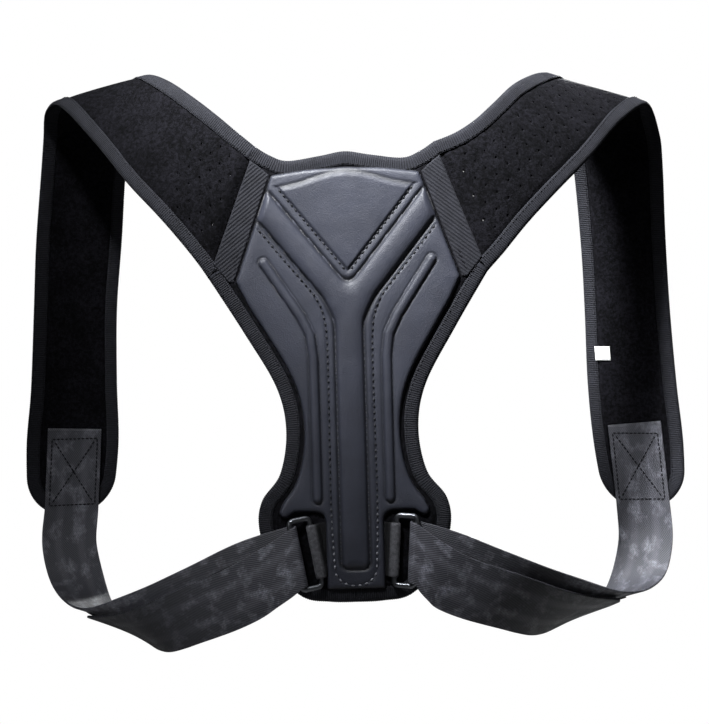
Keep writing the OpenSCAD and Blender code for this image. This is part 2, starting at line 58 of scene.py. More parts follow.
BIND_W = 9.0
BIND_T = 0.9
EDGE_T = 5.6
FABRIC_T = 0.8
TIP_R = 26.0
MOULD_T = 2.8
RIDGE_H = 2.8
RIB_H = 1.8
STEM_HALF = 8.5
ARM_HALF = 8.0
RIB_HALF = 3.0
SKIN_T = 0.8
WEB_W = 38.0
WEB_T = 1.5
TAPE_T = 1.0
SEWN_L = 60.0
WIRE_R = 1.7
LOOP_R = WIRE_R + 1.05
RING_H = 43.5
RING_W = 13.0
RING_LIFT = math.radians(14)
RING_CORNER = 2.6
LEAN = {"left": math.radians(10), "right": math.radians(4)}
BAR_AT = np.array([25.0, -(EDGE_T + WIRE_R + 1.45), -109.0])
TAB_W = 34.0
TAB_T = 1.25
TAB_REACH = 14.0
FOLD_GAP = 0.7
CLOSURE_GAP = 1.0
TAIL_DROP = 9.0
FIRST_DROPS = [2.0, 4.8, 8, 10.6, 11.4, 11, 10.1, 9.3, 9, 9, 8.4, 7, 4.8, 2.2, 0.5]
TAIL_RISE = WEB_T + 2 * TAPE_T + CLOSURE_GAP

NECK_POINTS = [[0, 141], [16, 138.5], [36, 136], [47, 139.8], [56, 145.5]]
SKIRT_POINTS = [[87.5, 63.5], [66, 28.5], [47, -5.5], [41.5, -33], [46, -60],
    [58, -77], [60, -95], [52, -120], [34, -137.5], [17, -141], [0, -141.5]]
MOULD_CORNERS = [[0, 131], [24, 130], [46.5, 127], [70.4, 60.5]]
MOULD_INSET = 11.3
RECESS_TOP = -84.5
WING_FOOT = [[47.5, -84], [46, -87.5], [42, -88], [37.5, -84.5]]
RECESS_IN = 18.5
RECESS_FOOT = -133.0
ARM_LINE = [[5, 49], [46.8, 101], [58, 115]]
RIB_LINE = [[52.5, 72], [41, 54.5], [30.2, 38], [24.6, 26], [22.9, 12], [22.7, -30], [22.7, -76]]
CHEST_STITCHES = [[0.5, 66.3], [43, 119.2]]
FLANK_STITCHES = [[55.5, 93.4], [38, 71.5], [21, 50.5], [15.6, 37], [14.2, 22], [14, 0],
    [14.3, -40], [14.5, -76], [14.0, -100], [13, -121]]
BROW = [[0, 128.3], [9, 127.4], [18, 125.0], [30, 121.2], [40, 119.3], [50, 118.6]]

PAD_ROWS = {
    "left": [
        [[56, 0, 145.5], [87.5, 0, 63.5]],
        [[66.5, 1, 154.8], [98, 1, 79]],
        [[80, 6, 167], [117, 6, 102.5]],
        [[95, 17, 179.5], [138, 18, 125.5]],
        [[110.5, 34, 191], [160.5, 38, 153]],
        [[125, 57, 198], [187.5, 64, 181]],
        [[135, 84, 198], [202, 88, 180.5]],
        [[144, 110, 183.5], [207, 104, 164.5]],
        [[153.5, 128, 149], [211, 112, 136]],
        [[159.5, 139, 98], [216, 118, 95]],
        [[165, 145, 50], [219.5, 122, 47]],
        [[167, 149, 0], [223.5, 125.5, -5]],
        [[167.5, 151, -45], [228, 127, -44]],
        [[173.5, 149.5, -92], [228.5, 127.5, -92]]],
    "right": [
        [[56, 0, 145.5], [87.5, 0, 63.5]],
        [[69, 1, 150.5], [97.5, 1, 74.5]],
        [[81.5, 5, 158.5], [114.5, 6, 94.5]],
        [[93.5, 13, 169.5], [133, 18, 113.5]],
        [[108, 27, 183], [155, 38, 135]],
        [[126, 52, 191.5], [180, 62, 161.5]],
        [[137, 84, 190.5], [201, 86, 173]],
        [[145, 110, 175], [210.5, 103, 155.5]],
        [[153, 128, 144], [213, 112, 133]],
        [[158, 139, 89], [214, 118, 90]],
        [[160, 145, 41], [216, 122, 40]],
        [[161, 148.5, -10], [219.5, 124.5, -12]],
        [[164.5, 151, -54], [223.5, 127, -55]],
        [[171.5, 149.5, -99], [223.5, 128.5, -98]]]}
STRAP_ROUTE = {
    "left": [[67, -7, -120], [100, 7, -135.5], [135, 32, -150.5], [165, 70, -157],
        [184.5, 108, -152], [196.5, 130, -135.5], [202, 135, -112]],
    "right": [[59, -7, -117.5], [90, 6, -131.5], [123, 32, -145.5], [155.5, 70, -154],
        [178, 108, -153.5], [191.5, 130, -141], [197.5, 136, -119.5]]}
ACROSS_ROUTE = [[0.4, 0, 0.92], [0.42, -0.1, 0.9], [0.5, -0.3, 0.8], [0.7, -0.57, 0.43],
    [0.8, -0.55, 0.2], [0.93, -0.35, 0.05], [0.95, -0.32, 0]]
STRAP_STEPS = 3
PAD_STEPS = 8
LOOP_TAPE_SPAN = (3, 14)
HOOK_TAPE_SPAN = (7, 13)
TAIL_END = 14
TAIL_END_R = 15.0
# stations by which the seen tail and hook tape end before those of the CAD
TAIL_SHORT = 1.0
HOOK_SHORT = 0.9

SIDES = ("left", "right")
PANEL_OUT = np.array([0.0, -1.0, 0.0])
# gaps that keep neighbouring layers apart
GAP = 0.02
# stitches as (pitch, length, thickness)
TAPE_STITCH = (3.2, 2.1, 0.5)
COVER_STITCH = (4.0, 2.3, 1.2)
BOX_STITCH = (3.0, 2.4, 0.95)
TAPE_STITCH_IN = 7.7
HOLE_PITCH = 9.5
HOLE_R = 0.62
HOLE_SIDES = 10

# ---- vectors and curves ----


def arr(points):
    return np.array(points, dtype=float)


def unit(v):
    return v / np.linalg.norm(v, axis=-1, keepdims=True)


def mix(a, b, t):
    return a + (b - a) * t


def ease(t):
    t = np.clip(t, 0, 1)
    return t * t * (3 - 2 * t)


def curve_at(p, i, t):
    a = p[max(i - 1, 0)]
    b = p[i]
    c = p[i + 1]
    d = p[i + 2] if i + 2 < len(p) else 2 * p[-1] - p[-2]
    return 0.5 * (2 * b + (c - a) * t + (2 * a - 5 * b + 4 * c - d) * t * t
        + (3 * b - a - 3 * c + d) * t * t * t)


def spline(points, n):
    p = arr(points)
    steps = [curve_at(p, i, k / n) for i in range(len(p) - 1) for k in range(n)]
    return np.vstack([steps, p[-1:]])


def lengths(line):
    steps = np.linalg.norm(np.diff(line, axis=0), axis=1)
    return np.concatenate([[0], np.cumsum(steps)])


def at_length(s, line, wanted):
    """Values of line, known at the lengths s, at the wanted lengths."""
    return np.stack([np.interp(wanted, s, line[:, k]) for k in range(line.shape[1])], axis=-1)


def headings(line):
    return unit(np.gradient(line, axis=0))


def flip2(points):
    return arr(points) * [-1, 1]


def mirrored(points, side):
    return points * [-1, 1, 1] if side == "left" else points


def right_of(ways):
    return np.stack([ways[:, 1], -ways[:, 0]], axis=1)


def beside(line):
    """Ways to the right of a line in a plane."""
    return right_of(headings(line))


def round_headings(loop):
    """Headings of a closed outline."""
    return unit(np.roll(loop, -1, axis=0) - np.roll(loop, 1, axis=0))


def segment_distance(p, a, b):
    along = b - a
    t = np.clip(((p - a) @ along) / (along @ along), 0, 1)
    return np.linalg.norm(p - a - t[:, None] * along, axis=1)


def line_distance(p, line):
    line = arr(line)
    best = segment_distance(p, line[0], line[1])
    for i in range(1, len(line) - 1):
        best = np.minimum(best, segment_distance(p, line[i], line[i + 1]))
    return best


def inside(p, loop):
    """Whether each point lies inside a closed outline."""
    result = np.zeros(len(p), bool)
    for a, b in zip(loop, np.roll(loop, -1, axis=0)):
        if a[1] == b[1]:
            continue
        crosses = (a[1] > p[:, 1]) != (b[1] > p[:, 1])
        x = a[0] + (p[:, 1] - a[1]) * (b[0] - a[0]) / (b[1] - a[1])
        result ^= crosses & (p[:, 0] < x)
    return result


def closed(loop):
    return np.vstack([loop, loop[:1]])


def soft_min(a, b, k):
    h = np.clip(0.5 + 0.5 * (b - a) / k, 0, 1)
    return mix(b, a, h) - k * h * (1 - h)


def bump(d, width):
    return np.exp(-((d / width) ** 2))


def ripple(x, y, size, seed):
    """Slow, even waves from -1 to 1, for the small unevenness of soft goods."""
    total = 0.0
    for k in range(4):
        angle = seed * 1.7 + k * 2.4
        wave = 2 * math.pi / (size * (0.7 + 0.23 * k))
        total = total + np.sin(wave * (x * math.cos(angle) + y * math.sin(angle)) + seed + k)
    return total / 4


# ---- making meshes ----


def add_object(name, data):
    made = bpy.data.objects.new(name, data)
    SCENE.collection.objects.link(made)
    return made


def add_piece(name, points, faces, look, nodes=(), side="right", body="back_panel"):
    """A mesh from points in millimetres, on the +X side, riding on a body."""
    material, slot = look
    points = mirrored(np.asarray(points, float) * MM, side)
    mesh = bpy.data.meshes.new(name)
    mesh.from_pydata(points.tolist(), [], [tuple(int(i) for i in f) for f in faces])
    work = bmesh.new()
    work.from_mesh(mesh)
    bmesh.ops.recalc_face_normals(work, faces=work.faces)
    work.to_mesh(mesh)
    work.free()
    mesh.polygons.foreach_set("use_smooth", [True] * len(mesh.polygons))
    mesh.materials.append(material)
    piece = add_object(name, mesh)
    if nodes:
        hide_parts(*nodes)
    if body:
        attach(piece, body)
    return piece


def add_uv(piece, values):
    """A UV map named Web, in metres along and across, from a value for each vertex."""
    layer = piece.data.uv_layers.new(name="Web")
    index = np.empty(len(piece.data.loops), int)
    piece.data.loops.foreach_get("vertex_index", index)
    layer.data.foreach_set("uv", (np.asarray(values)[index] * MM).ravel())


def hex_grid(low, high, pitch):
    rows = []
    y = low[1]
    odd = False
    while y < high[1]:
        x = np.arange(low[0] + (pitch / 2 if odd else 0), high[0], pitch)
        rows.append(np.stack([x, np.full_like(x, y)], axis=1))
        y += pitch * math.sqrt(0.75)
        odd = not odd
    return np.vstack(rows)


def circle2(at, r, n, turn=0.0):
    a = np.arange(n) * 2 * math.pi / n + turn
    return np.stack([at[0] + r * np.cos(a), at[1] + r * np.sin(a)], axis=1)


def plan(outline, pitch, holes=(), extra=()):
    """Points and triangles that fill an outline, with round holes left open."""
    outline = arr(outline)
    loops = [outline] + [circle2(h, HOLE_R, HOLE_SIDES) for h in holes]
    inner = hex_grid(outline.min(axis=0), outline.max(axis=0), pitch)
    if len(extra):
        inner = np.vstack([inner, extra])
    inner = inner[inside(inner, outline)]
    inner = inner[line_distance(inner, closed(outline)) > 0.45 * pitch]
    if len(holes):
        centres = arr(holes)
        keep = np.ones(len(inner), bool)
        for c in centres:
            near = np.abs(inner[:, 0] - c[0]) < HOLE_R * 3
            keep[near] &= np.linalg.norm(inner[near] - c, axis=1) > HOLE_R * 1.35
        inner = inner[keep]
    points = np.vstack(loops + [inner])
    edges = []
    first = 0
    for loop in loops:
        n = len(loop)
        edges += [(first + i, first + (i + 1) % n) for i in range(n)]
        first += n
    made = delaunay_2d_cdt([Vector(p) for p in points], edges, [], 1, 1e-5)
    points = arr([list(v) for v in made[0]])
    triangles = np.array([f for f in made[2] if len(f) == 3])
    if len(holes):
        middle = points[triangles].mean(axis=1)
        keep = np.ones(len(triangles), bool)
        for c in centres:
            keep &= np.linalg.norm(middle - c, axis=1) > HOLE_R * 0.93
        triangles = triangles[keep]
    return points, triangles


def rim_edges(triangles):
    """Edges that belong to one triangle only, each in that triangle's direction."""
    edges = np.vstack([triangles[:, [0, 1]], triangles[:, [1, 2]], triangles[:, [2, 0]]])
    key = np.sort(edges, axis=1)
    _, first, count = np.unique(key, axis=0, return_index=True, return_counts=True)
    return edges[first[count == 1]]


def solid(points, triangles, low, high):
    """A closed solid between two surfaces over the same plan."""
    n = len(points)
    rim = rim_edges(triangles)
    walls = np.stack([rim[:, 1], rim[:, 0], rim[:, 0] + n, rim[:, 1] + n], axis=1)
    faces = list(triangles + n) + list(triangles[:, ::-1]) + list(walls)
    return np.vstack([low, high]), faces


def flat(points, level):
    """Points of the panel's plane, as [x, z], at a level outwards from the body side."""
    level = np.broadcast_to(level, (len(points),))
    return np.stack([points[:, 0], -level, points[:, 1]], axis=1)


def add_layer(name, p, triangles, low, high, look, nodes, side="right", place=flat):
    """A piece between two levels over a plan, which place() turns into points."""
    made = solid(p, triangles, place(p, low), place(p, high))
    return add_piece(name, *made, look, nodes, side)


def swept(sections, ring=False):
    """A closed solid from equal closed sections, as a ring or along a path with capped ends."""
    sections = np.asarray(sections)
    count, size = sections.shape[:2]
    i, j = np.meshgrid(np.arange(count if ring else count - 1), np.arange(size), indexing="ij")
    ahead = (i + 1) % count
    after = (j + 1) % size
    corners = [i * size + j, i * size + after, ahead * size + after, ahead * size + j]
    faces = list(np.stack([c.ravel() for c in corners], axis=1))
    if not ring:
        faces.append(list(range(size))[::-1])
        faces.append([(count - 1) * size + k for k in range(size)])
    return sections.reshape(-1, 3), faces


def gather(parts):
    """Several meshes as one."""
    points = []
    faces = []
    first = 0
    for p, f in parts:
        points.append(p)
        faces += [[int(i) + first for i in face] for face in f]
        first += len(p)
    return np.vstack(points), faces


def stitch(at, along, out, length, thick):
    """One stitch: a short thread that dips into the cloth at both ends."""
    across = np.cross(out, along)
    sections = []
    for t in (-1, -0.8, -0.45, 0, 0.45, 0.8, 1):
        r = thick / 2 * math.sqrt(max(0.12, 1 - t * t))
        lift = thick * 0.42 * (1 - t * t) - thick * 0.2
        middle = at + along * t * length / 2 + out * lift
        sections.append([middle + r * (math.cos(a) * across + math.sin(a) * out)
            for a in np.arange(6) * math.pi / 3])
    return swept(sections)


def stitches_along(line, outs, pitch, length, thick):
    """Stitches at an even pitch along a line, with the surface's outward direction."""
    s = lengths(line)
    count = max(1, round(s[-1] / pitch))
    spots = (np.arange(count) + 0.5) * s[-1] / count
    points = at_length(s, line, spots)
    directions = unit(at_length(s, headings(line), spots))
    normals = unit(at_length(s, np.broadcast_to(outs, line.shape), spots))
    return [stitch(p, d, n, length, thick) for p, d, n in zip(points, directions, normals)]


# ---- materials ----

RIB_PITCH = 1.3


class Shader:
    """A material with a Principled BSDF, and short calls to build its nodes."""

    def __init__(self, name, **settings):
        self.material = bpy.data.materials.new(name)
        self.material.use_nodes = True
        self.nodes = self.material.node_tree.nodes
        self.links = self.material.node_tree.links
        self.bsdf = self.nodes["Principled BSDF"]
        for socket, value in settings.items():
            self.bsdf.inputs[socket.replace("_", " ")].default_value = value

    def node(self, kind, inputs=(), **properties):
        made = self.nodes.new(kind)
        for key, value in properties.items():
            setattr(made, key, value)
        for key, value in dict(inputs).items():
            self.feed(made.inputs[key], value)
        return made

    def feed(self, socket, value):
        if isinstance(value, bpy.types.NodeSocket):
            self.links.new(value, socket)
        else:
            socket.default_value = value

    def place(self):
        return self.node("ShaderNodeTexCoord").outputs["Object"]

    def web_uv(self):
        return self.node("ShaderNodeUVMap", uv_map="Web").outputs["UV"]

    def axis(self, vector, which):
        return self.node("ShaderNodeSeparateXYZ", {"Vector": vector}).outputs[which]

    def noise(self, vector, scale, detail=2.0, rough=0.5):
        return self.node("ShaderNodeTexNoise", {"Vector": vector, "Scale": scale,
            "Detail": detail, "Roughness": rough}).outputs["Fac"]

    def cells(self, vector, scale):
        return self.node("ShaderNodeTexVoronoi", {"Vector": vector, "Scale": scale},
            feature="F1").outputs["Distance"]

    def stretch(self, vector, scale, turn=0.0):
        return self.node("ShaderNodeMapping", {"Vector": vector, "Scale": scale,
            "Rotation": (0.0, 0.0, turn)}).outputs["Vector"]

    def waves(self, vector, pitch, direction="X", distort=0.0, detail=0.0):
        # a wave texture repeats every 2 pi / 20 of its scaled coordinate
        return self.node("ShaderNodeTexWave", {"Vector": vector, "Scale": math.pi / 10 / pitch,
            "Distortion": distort, "Detail": detail}, bands_direction=direction).outputs["Fac"]

    def math(self, operation, a, b=0.0):
        return self.node("ShaderNodeMath", {0: a, 1: b}, operation=operation).outputs[0]

    def times(self, a, b):
        return self.math("MULTIPLY", a, b)

    def plus(self, a, b):
        return self.math("ADD", a, b)

    def remap(self, value, low, high, to_low, to_high):
        return self.node("ShaderNodeMapRange", {"Value": value, "From Min": low, "From Max": high,
            "To Min": to_low, "To Max": to_high}).outputs["Result"]

    def spread(self, noise, low, high):
        """Noise, which lies mostly between 0.3 and 0.7, spread over another range."""
        return self.remap(noise, 0.3, 0.7, low, high)

    def finish(self, shade, low, high, rough, *layers):
        """The material, with a colour from low to high by its shade, and bumps.

        The bumps are layers of (height, depth in millimetres), one over the other."""
        ramp = self.node("ShaderNodeValToRGB", {"Fac": shade})
        ramp.color_ramp.elements[0].color = (*low, 1)
        ramp.color_ramp.elements[1].color = (*high, 1)
        self.feed(self.bsdf.inputs["Base Color"], ramp.outputs["Color"])
        self.feed(self.bsdf.inputs["Roughness"], rough)
        normal = None
        for height, depth in layers:
            inputs = {"Height": height, "Distance": depth * MM, "Strength": 1.0}
            if normal is not None:
                inputs["Normal"] = normal
            normal = self.node("ShaderNodeBump", inputs).outputs["Normal"]
        if normal is not None:
            self.feed(self.bsdf.inputs["Normal"], normal)
        return self.material


def make_leather():
    """Moulded leather; its UV's first value is the painted shade of its grooves, seams, brow and
    edge.
    """
    s = Shader("leather", Specular_IOR_Level=0.42)
    at = s.place()
    grain = s.cells(at, 1300.0)
    pores = s.noise(at, 2400.0, 3.0, 0.6)
    cloud = s.spread(s.noise(at, 45.0, 3.0, 0.55), 0.7, 1.0)
    # painted shade: the UV's first value darkens the colour in the grooves
    unshaded = s.remap(s.axis(s.web_uv(), "X"), 0.0, MM, 1.0, 0.0)
    return s.finish(s.times(cloud, unshaded), (0.003, 0.0034, 0.0052), (0.0275, 0.0298, 0.043),
        s.spread(s.noise(at, 160.0, 4.0, 0.6), 0.47, 0.6),
        (grain, 0.09), (pores, 0.08), (s.noise(at, 220.0, 2.0), 0.14))


def make_plush(name, tint=1.0):
    s = Shader(name, Specular_IOR_Level=0.06, Sheen_Weight=0.05, Sheen_Roughness=0.45,
        Sheen_Tint=(0.5, 0.5, 0.56, 1))
    at = s.place()
    fuzz = s.noise(at, 950.0, 4.0, 0.75)
    tufts = s.noise(at, 420.0, 3.0, 0.7)
    nap = s.spread(s.noise(at, 60.0), 0.85, 1.12)
    speck = s.remap(s.times(s.times(fuzz, tufts), nap), 0.18, 0.35, 0.0, 1.0)
    low = tuple(c * tint for c in (0.0006, 0.0006, 0.0009))
    high = tuple(c * tint for c in (0.0075, 0.0073, 0.0098))
    return s.finish(speck, low, high,
        s.spread(fuzz, 0.75, 0.98), (tufts, 0.5), (fuzz, 0.35))


def make_tape(name, ribbed=True):
    """Woven tape; with ribbed, its UV runs along it and it darkens between the ribs as painted
    shade.
    """
    s = Shader(name, Specular_IOR_Level=0.2, Sheen_Weight=0.05, Sheen_Roughness=0.4,
        Sheen_Tint=(0.6, 0.6, 0.65, 1))
    at = s.place()
    yarn = s.noise(at, 1500.0, 3.0, 0.6)
    blotch = s.noise(at, 120.0, 3.0, 0.6)
    shade = s.plus(s.times(yarn, 0.6), s.times(blotch, 0.5))
    layers = [(yarn, 0.22)]
    if ribbed:
        ribs = s.waves(s.web_uv(), RIB_PITCH * MM, distort=0.5, detail=1.0)
        # painted shade: the colour darkens between the ribs
        shade = s.plus(s.times(ribs, 0.45), s.math("SUBTRACT", shade, 0.2))
        layers.append((ribs, 0.25))
    shade = s.remap(shade, 0.25, 0.95, 0.0, 1.0)
    return s.finish(shade, (0.0035, 0.0036, 0.005), (0.0215, 0.0222, 0.029),
        s.spread(yarn, 0.65, 0.9), *layers)


def make_webbing(name, low, high, painted_light=(9.0, 10.0)):
    """Satin twill, with two paler stripes along it and patches that shine more.

    Between the two distances along it that it is given, in metres, its patches fade and its colour
    darkens, as painted shade where the light falls off; by default these lie beyond its end."""
    s = Shader(name, Specular_IOR_Level=0.45, Sheen_Weight=0.05, Sheen_Roughness=0.3)
    uv = s.web_uv()
    same = (1.0, 1.0, 1.0)
    twill = s.waves(s.stretch(uv, same, math.radians(52)), 1.15 * MM, "X", 0.5, 1.0)
    cross = s.waves(s.stretch(uv, same, math.radians(-38)), 0.8 * MM, "X", 0.6, 1.0)
    from_stripe = s.math("SUBTRACT", s.math("ABSOLUTE", s.axis(uv, "Y")), 0.0078)
    stripe = s.remap(s.math("ABSOLUTE", from_stripe), 0.0012, 0.0036, 1.0, 0.0)
    patch = s.noise(s.stretch(uv, (1.0, 1.3, 1.0)), 75.0, 3.0, 0.62)
    flecks = s.noise(s.stretch(uv, (0.6, 1.0, 1.0)), 900.0, 3.0, 0.7)
    shine = s.remap(patch, 0.5, 0.66, 0.0, 1.0)
    lit = s.times(shine, s.remap(flecks, 0.42, 0.68, 0.25, 1.0))
    yarn = s.plus(s.times(twill, 0.28), s.times(cross, 0.14))
    shade = s.plus(yarn, s.times(stripe, 0.1))
    # painted shade: past the given distances along the strap its colour darkens and its shining
    # patches fade
    along = s.axis(uv, "X")
    lit = s.times(lit, s.remap(along, *painted_light, 1.0, 0.15))
    shade = s.times(shade, s.remap(along, *painted_light, 1.0, 0.2))
    return s.finish(s.plus(shade, s.times(lit, 0.85)), low, high,
        s.remap(s.plus(shine, stripe), 0.0, 1.5, 0.55, 0.38),
        (twill, 0.13), (cross, 0.07), (flecks, 0.05))


def make_ring_metal():
    s = Shader("ring_metal", Metallic=1.0)
    at = s.place()
    return s.finish(s.noise(at, 240.0, 3.0), (0.10, 0.105, 0.115), (0.17, 0.175, 0.19),
        s.remap(s.noise(at, 500.0, 4.0, 0.7), 0.35, 0.7, 0.32, 0.46), (s.noise(at, 380.0), 0.03))


def make_fuzzy(name, low, high, depth, scale):
    s = Shader(name, Specular_IOR_Level=0.2)
    at = s.place()
    loops = s.cells(at, scale)
    fluff = s.noise(at, scale * 1.4, 4.0, 0.7)
    return s.finish(s.remap(s.plus(loops, fluff), 0.5, 1.1, 0.0, 1.0), low, high,
        s.spread(fluff, 0.78, 0.96), (loops, depth), (fluff, depth * 0.7))


def make_tab_webbing():
    """Dark webbing with a painted highlight on the turn, where its UV's first value is high."""
    s = Shader("tab_webbing", Specular_IOR_Level=0.25)
    at = s.place()
    fluff = s.noise(at, 2300.0, 4.0, 0.7)
    turn = s.remap(s.axis(s.web_uv(), "X"), 0.0, 0.0016, 0.0, 1.0)
    edge = s.spread(s.noise(at, 420.0, 3.0, 0.6), 0.6, 1.3)
    # painted highlight: the turn round the bar is paler, where it catches the light
    painted_light = s.times(s.times(turn, edge), s.spread(fluff, 0.45, 1.0))
    return s.finish(painted_light, (0.003, 0.003, 0.004), (0.12, 0.121, 0.134),
        s.spread(fluff, 0.78, 0.96), (fluff, 0.3), (s.cells(at, 1500.0), 0.25))


def make_thread(name, specular, low, high, foot=None):
    """Thread; with foot, it turns paler from the first of two heights to the second, in metres."""
    s = Shader(name, Specular_IOR_Level=specular)
    at = s.place()
    shade = s.noise(at, 300.0 if foot else 900.0)
    if foot:
        shade = s.plus(s.remap(s.axis(at, "Z"), *foot, 0.0, 0.8), s.times(shade, 0.25))
    return s.finish(shade, low, high,
        s.spread(s.noise(at, 2500.0), 0.5, 0.7), (s.noise(at, 3200.0), 0.08))


def make_label():
    s = Shader("label", Specular_IOR_Level=0.4, Sheen_Weight=0.1)
    at = s.place()
    weave = s.waves(at, 0.5 * MM, "Z", 0.4, 1.0)
    return s.finish(s.noise(at, 400.0, 3.0), (0.72, 0.72, 0.70), (0.9, 0.9, 0.89),
        s.remap(weave, 0.0, 1.0, 0.55, 0.7), (weave, 0.05))


def make_plastic():
    s = Shader("plate_plastic", Specular_IOR_Level=0.4)
    at = s.place()
    return s.finish(s.noise(at, 150.0, 3.0), (0.012, 0.012, 0.013), (0.022, 0.022, 0.024),
        s.spread(s.noise(at, 900.0, 3.0), 0.4, 0.55), (s.noise(at, 1200.0), 0.04))


# looks, as (material, slot)
LEATHER = make_leather(), "leather"
PLUSH = make_plush("plush"), "plush"
LINING = make_plush("lining", 1.1), "lining"
TAPE = make_tape("tape"), "tape"
RIBBED = make_tape("gusset_tape", False), "ribbed_tape"
WEBBING = make_webbing("webbing", (0.0125, 0.0126, 0.0165), (0.2, 0.202, 0.236)), "webbing"
# the tail's copy of the webbing: its darker low colour and darkening far end are painted shade
SHADED_TAIL_WEBBING = make_webbing("tail_webbing", (0.0065, 0.0066, 0.0088), (0.3, 0.303, 0.36),
    (0.03, 0.13)), "webbing"
RING_METAL = make_ring_metal(), "ring_metal"
TAB_WEB = make_tab_webbing(), "tab_webbing"
LOOP_PILE = make_fuzzy("loop_pile", (0.006, 0.006, 0.007), (0.03, 0.03, 0.033), 0.4, 1400.0), "loop"
HOOKS = make_fuzzy("hooks", (0.005, 0.005, 0.006), (0.02, 0.02, 0.022), 0.3, 1100.0), "hook"
FOAM = make_fuzzy("foam", (0.03, 0.03, 0.032), (0.07, 0.07, 0.075), 0.3, 1300.0), "foam"
THREAD = make_thread("thread", 0.15, (0.002, 0.002, 0.003), (0.012, 0.012, 0.015)), "thread"
COVER_THREAD = make_thread("cover_thread", 0.12, (0.0012, 0.0012, 0.0016), (0.2, 0.205, 0.23),
    (-0.075, -0.115)), "thread"
LABEL = make_label(), "label"

# ---- outline of the panel ----

neck = spline(np.vstack([flip2(NECK_POINTS)[::-1], arr(NECK_POINTS)[1:]]), 10)
skirt = spline(np.vstack([arr(SKIRT_POINTS), flip2(SKIRT_POINTS[:-1])[::-1]]), 10)
SEAM_DIR = unit(arr(SKIRT_POINTS[0]) - arr(NECK_POINTS[-1]))


def inset(line, d, first, last):
    moved = line + d * beside(line)
    moved[0] = line[0] + d * first
    moved[-1] = line[-1] + d * last
    return moved


def neck_in(d):
    return inset(neck, d, SEAM_DIR * [-1, 1], SEAM_DIR)


def skirt_in(d):
    return inset(skirt, d, -SEAM_DIR, SEAM_DIR * [1, -1])


def panel_in(d):
    return np.vstack([neck_in(d), skirt_in(d)])


def even(loop, pitch):
    """A closed outline's points at an even pitch, with its corners kept."""
    result = []
    for a, b in zip(loop, np.roll(loop, -1, axis=0)):
        n = max(1, round(np.linalg.norm(b - a) / pitch))
        result += [mix(a, b, k / n) for k in range(n)]
    return arr(result)


def thin_out(loop, gap):
    """A closed outline without points that crowd closer than a gap."""
    kept = [loop[0]]
    for p in loop[1:]:
        if np.linalg.norm(p - kept[-1]) > gap:
            kept.append(p)
    if np.linalg.norm(kept[-1] - kept[0]) < gap:
        kept.pop()
    return arr(kept)


def edge_distance(points, outline):
    return line_distance(points, closed(outline))


panel_edge = panel_in(0.0)

# ---- the moulded back ----

cover_half = np.vstack([MOULD_CORNERS, skirt_in(MOULD_INSET)[7:46], WING_FOOT,
    [[RECESS_IN + 5, RECESS_TOP], [RECESS_IN + 1.5, RECESS_TOP - 1.5],
     [RECESS_IN, RECESS_TOP - 5], [RECESS_IN, RECESS_FOOT]]])
cover_edge = even(np.vstack([cover_half, flip2(cover_half[1:])[::-1]]), 0.9)
for _ in range(3):
    before = np.roll(cover_edge, 1, axis=0)
    cover_edge = (before + 2 * cover_edge + np.roll(cover_edge, -1, axis=0)) / 4
cover_edge = thin_out(cover_edge, 0.3)


def both_sides(p, line):
    """Distance to a line or to its mirror image."""
    return np.minimum(line_distance(p, line), line_distance(p, flip2(line)))


def ridge_distance(p):
    """Distance from the outline of the Y-shaped ridge, negative inside it."""
    right = line_distance(p, ARM_LINE) - ARM_HALF
    left = line_distance(p, flip2(ARM_LINE)) - ARM_HALF
    corner = 4.0
    away = np.abs(p - [0, -35.5]) - [STEM_HALF - corner, 84.5 - corner]
    stem = np.linalg.norm(np.maximum(away, 0), axis=1) + np.minimum(away.max(axis=1), 0) - corner
    return soft_min(soft_min(left, right, 9.0), stem, 11.0)


FOOT_ARC = [[14.0, -118], [13.2, -122], [11, -126], [7.5, -129], [3.6, -130.4], [0, -130.8]]
CHEST_DIR = unit(arr(CHEST_STITCHES[1]) - arr(CHEST_STITCHES[0]))


def seams(p):
    """Heights over the V of the chest and under the brow, and distance to V or flank seam."""
    x = np.abs(p[:, 0])
    z = p[:, 1]
    foot = CHEST_STITCHES[0]
    to_v = (x - foot[0]) * -CHEST_DIR[1] + (z - foot[1]) * CHEST_DIR[0]
    to_brow = np.interp(x, arr(BROW)[:, 0], arr(BROW)[:, 1]) - z
    seam_v = np.where(to_brow > -1, np.abs(to_v), 9)
    return to_v, to_brow, np.minimum(both_sides(p, FLANK_STITCHES), seam_v)


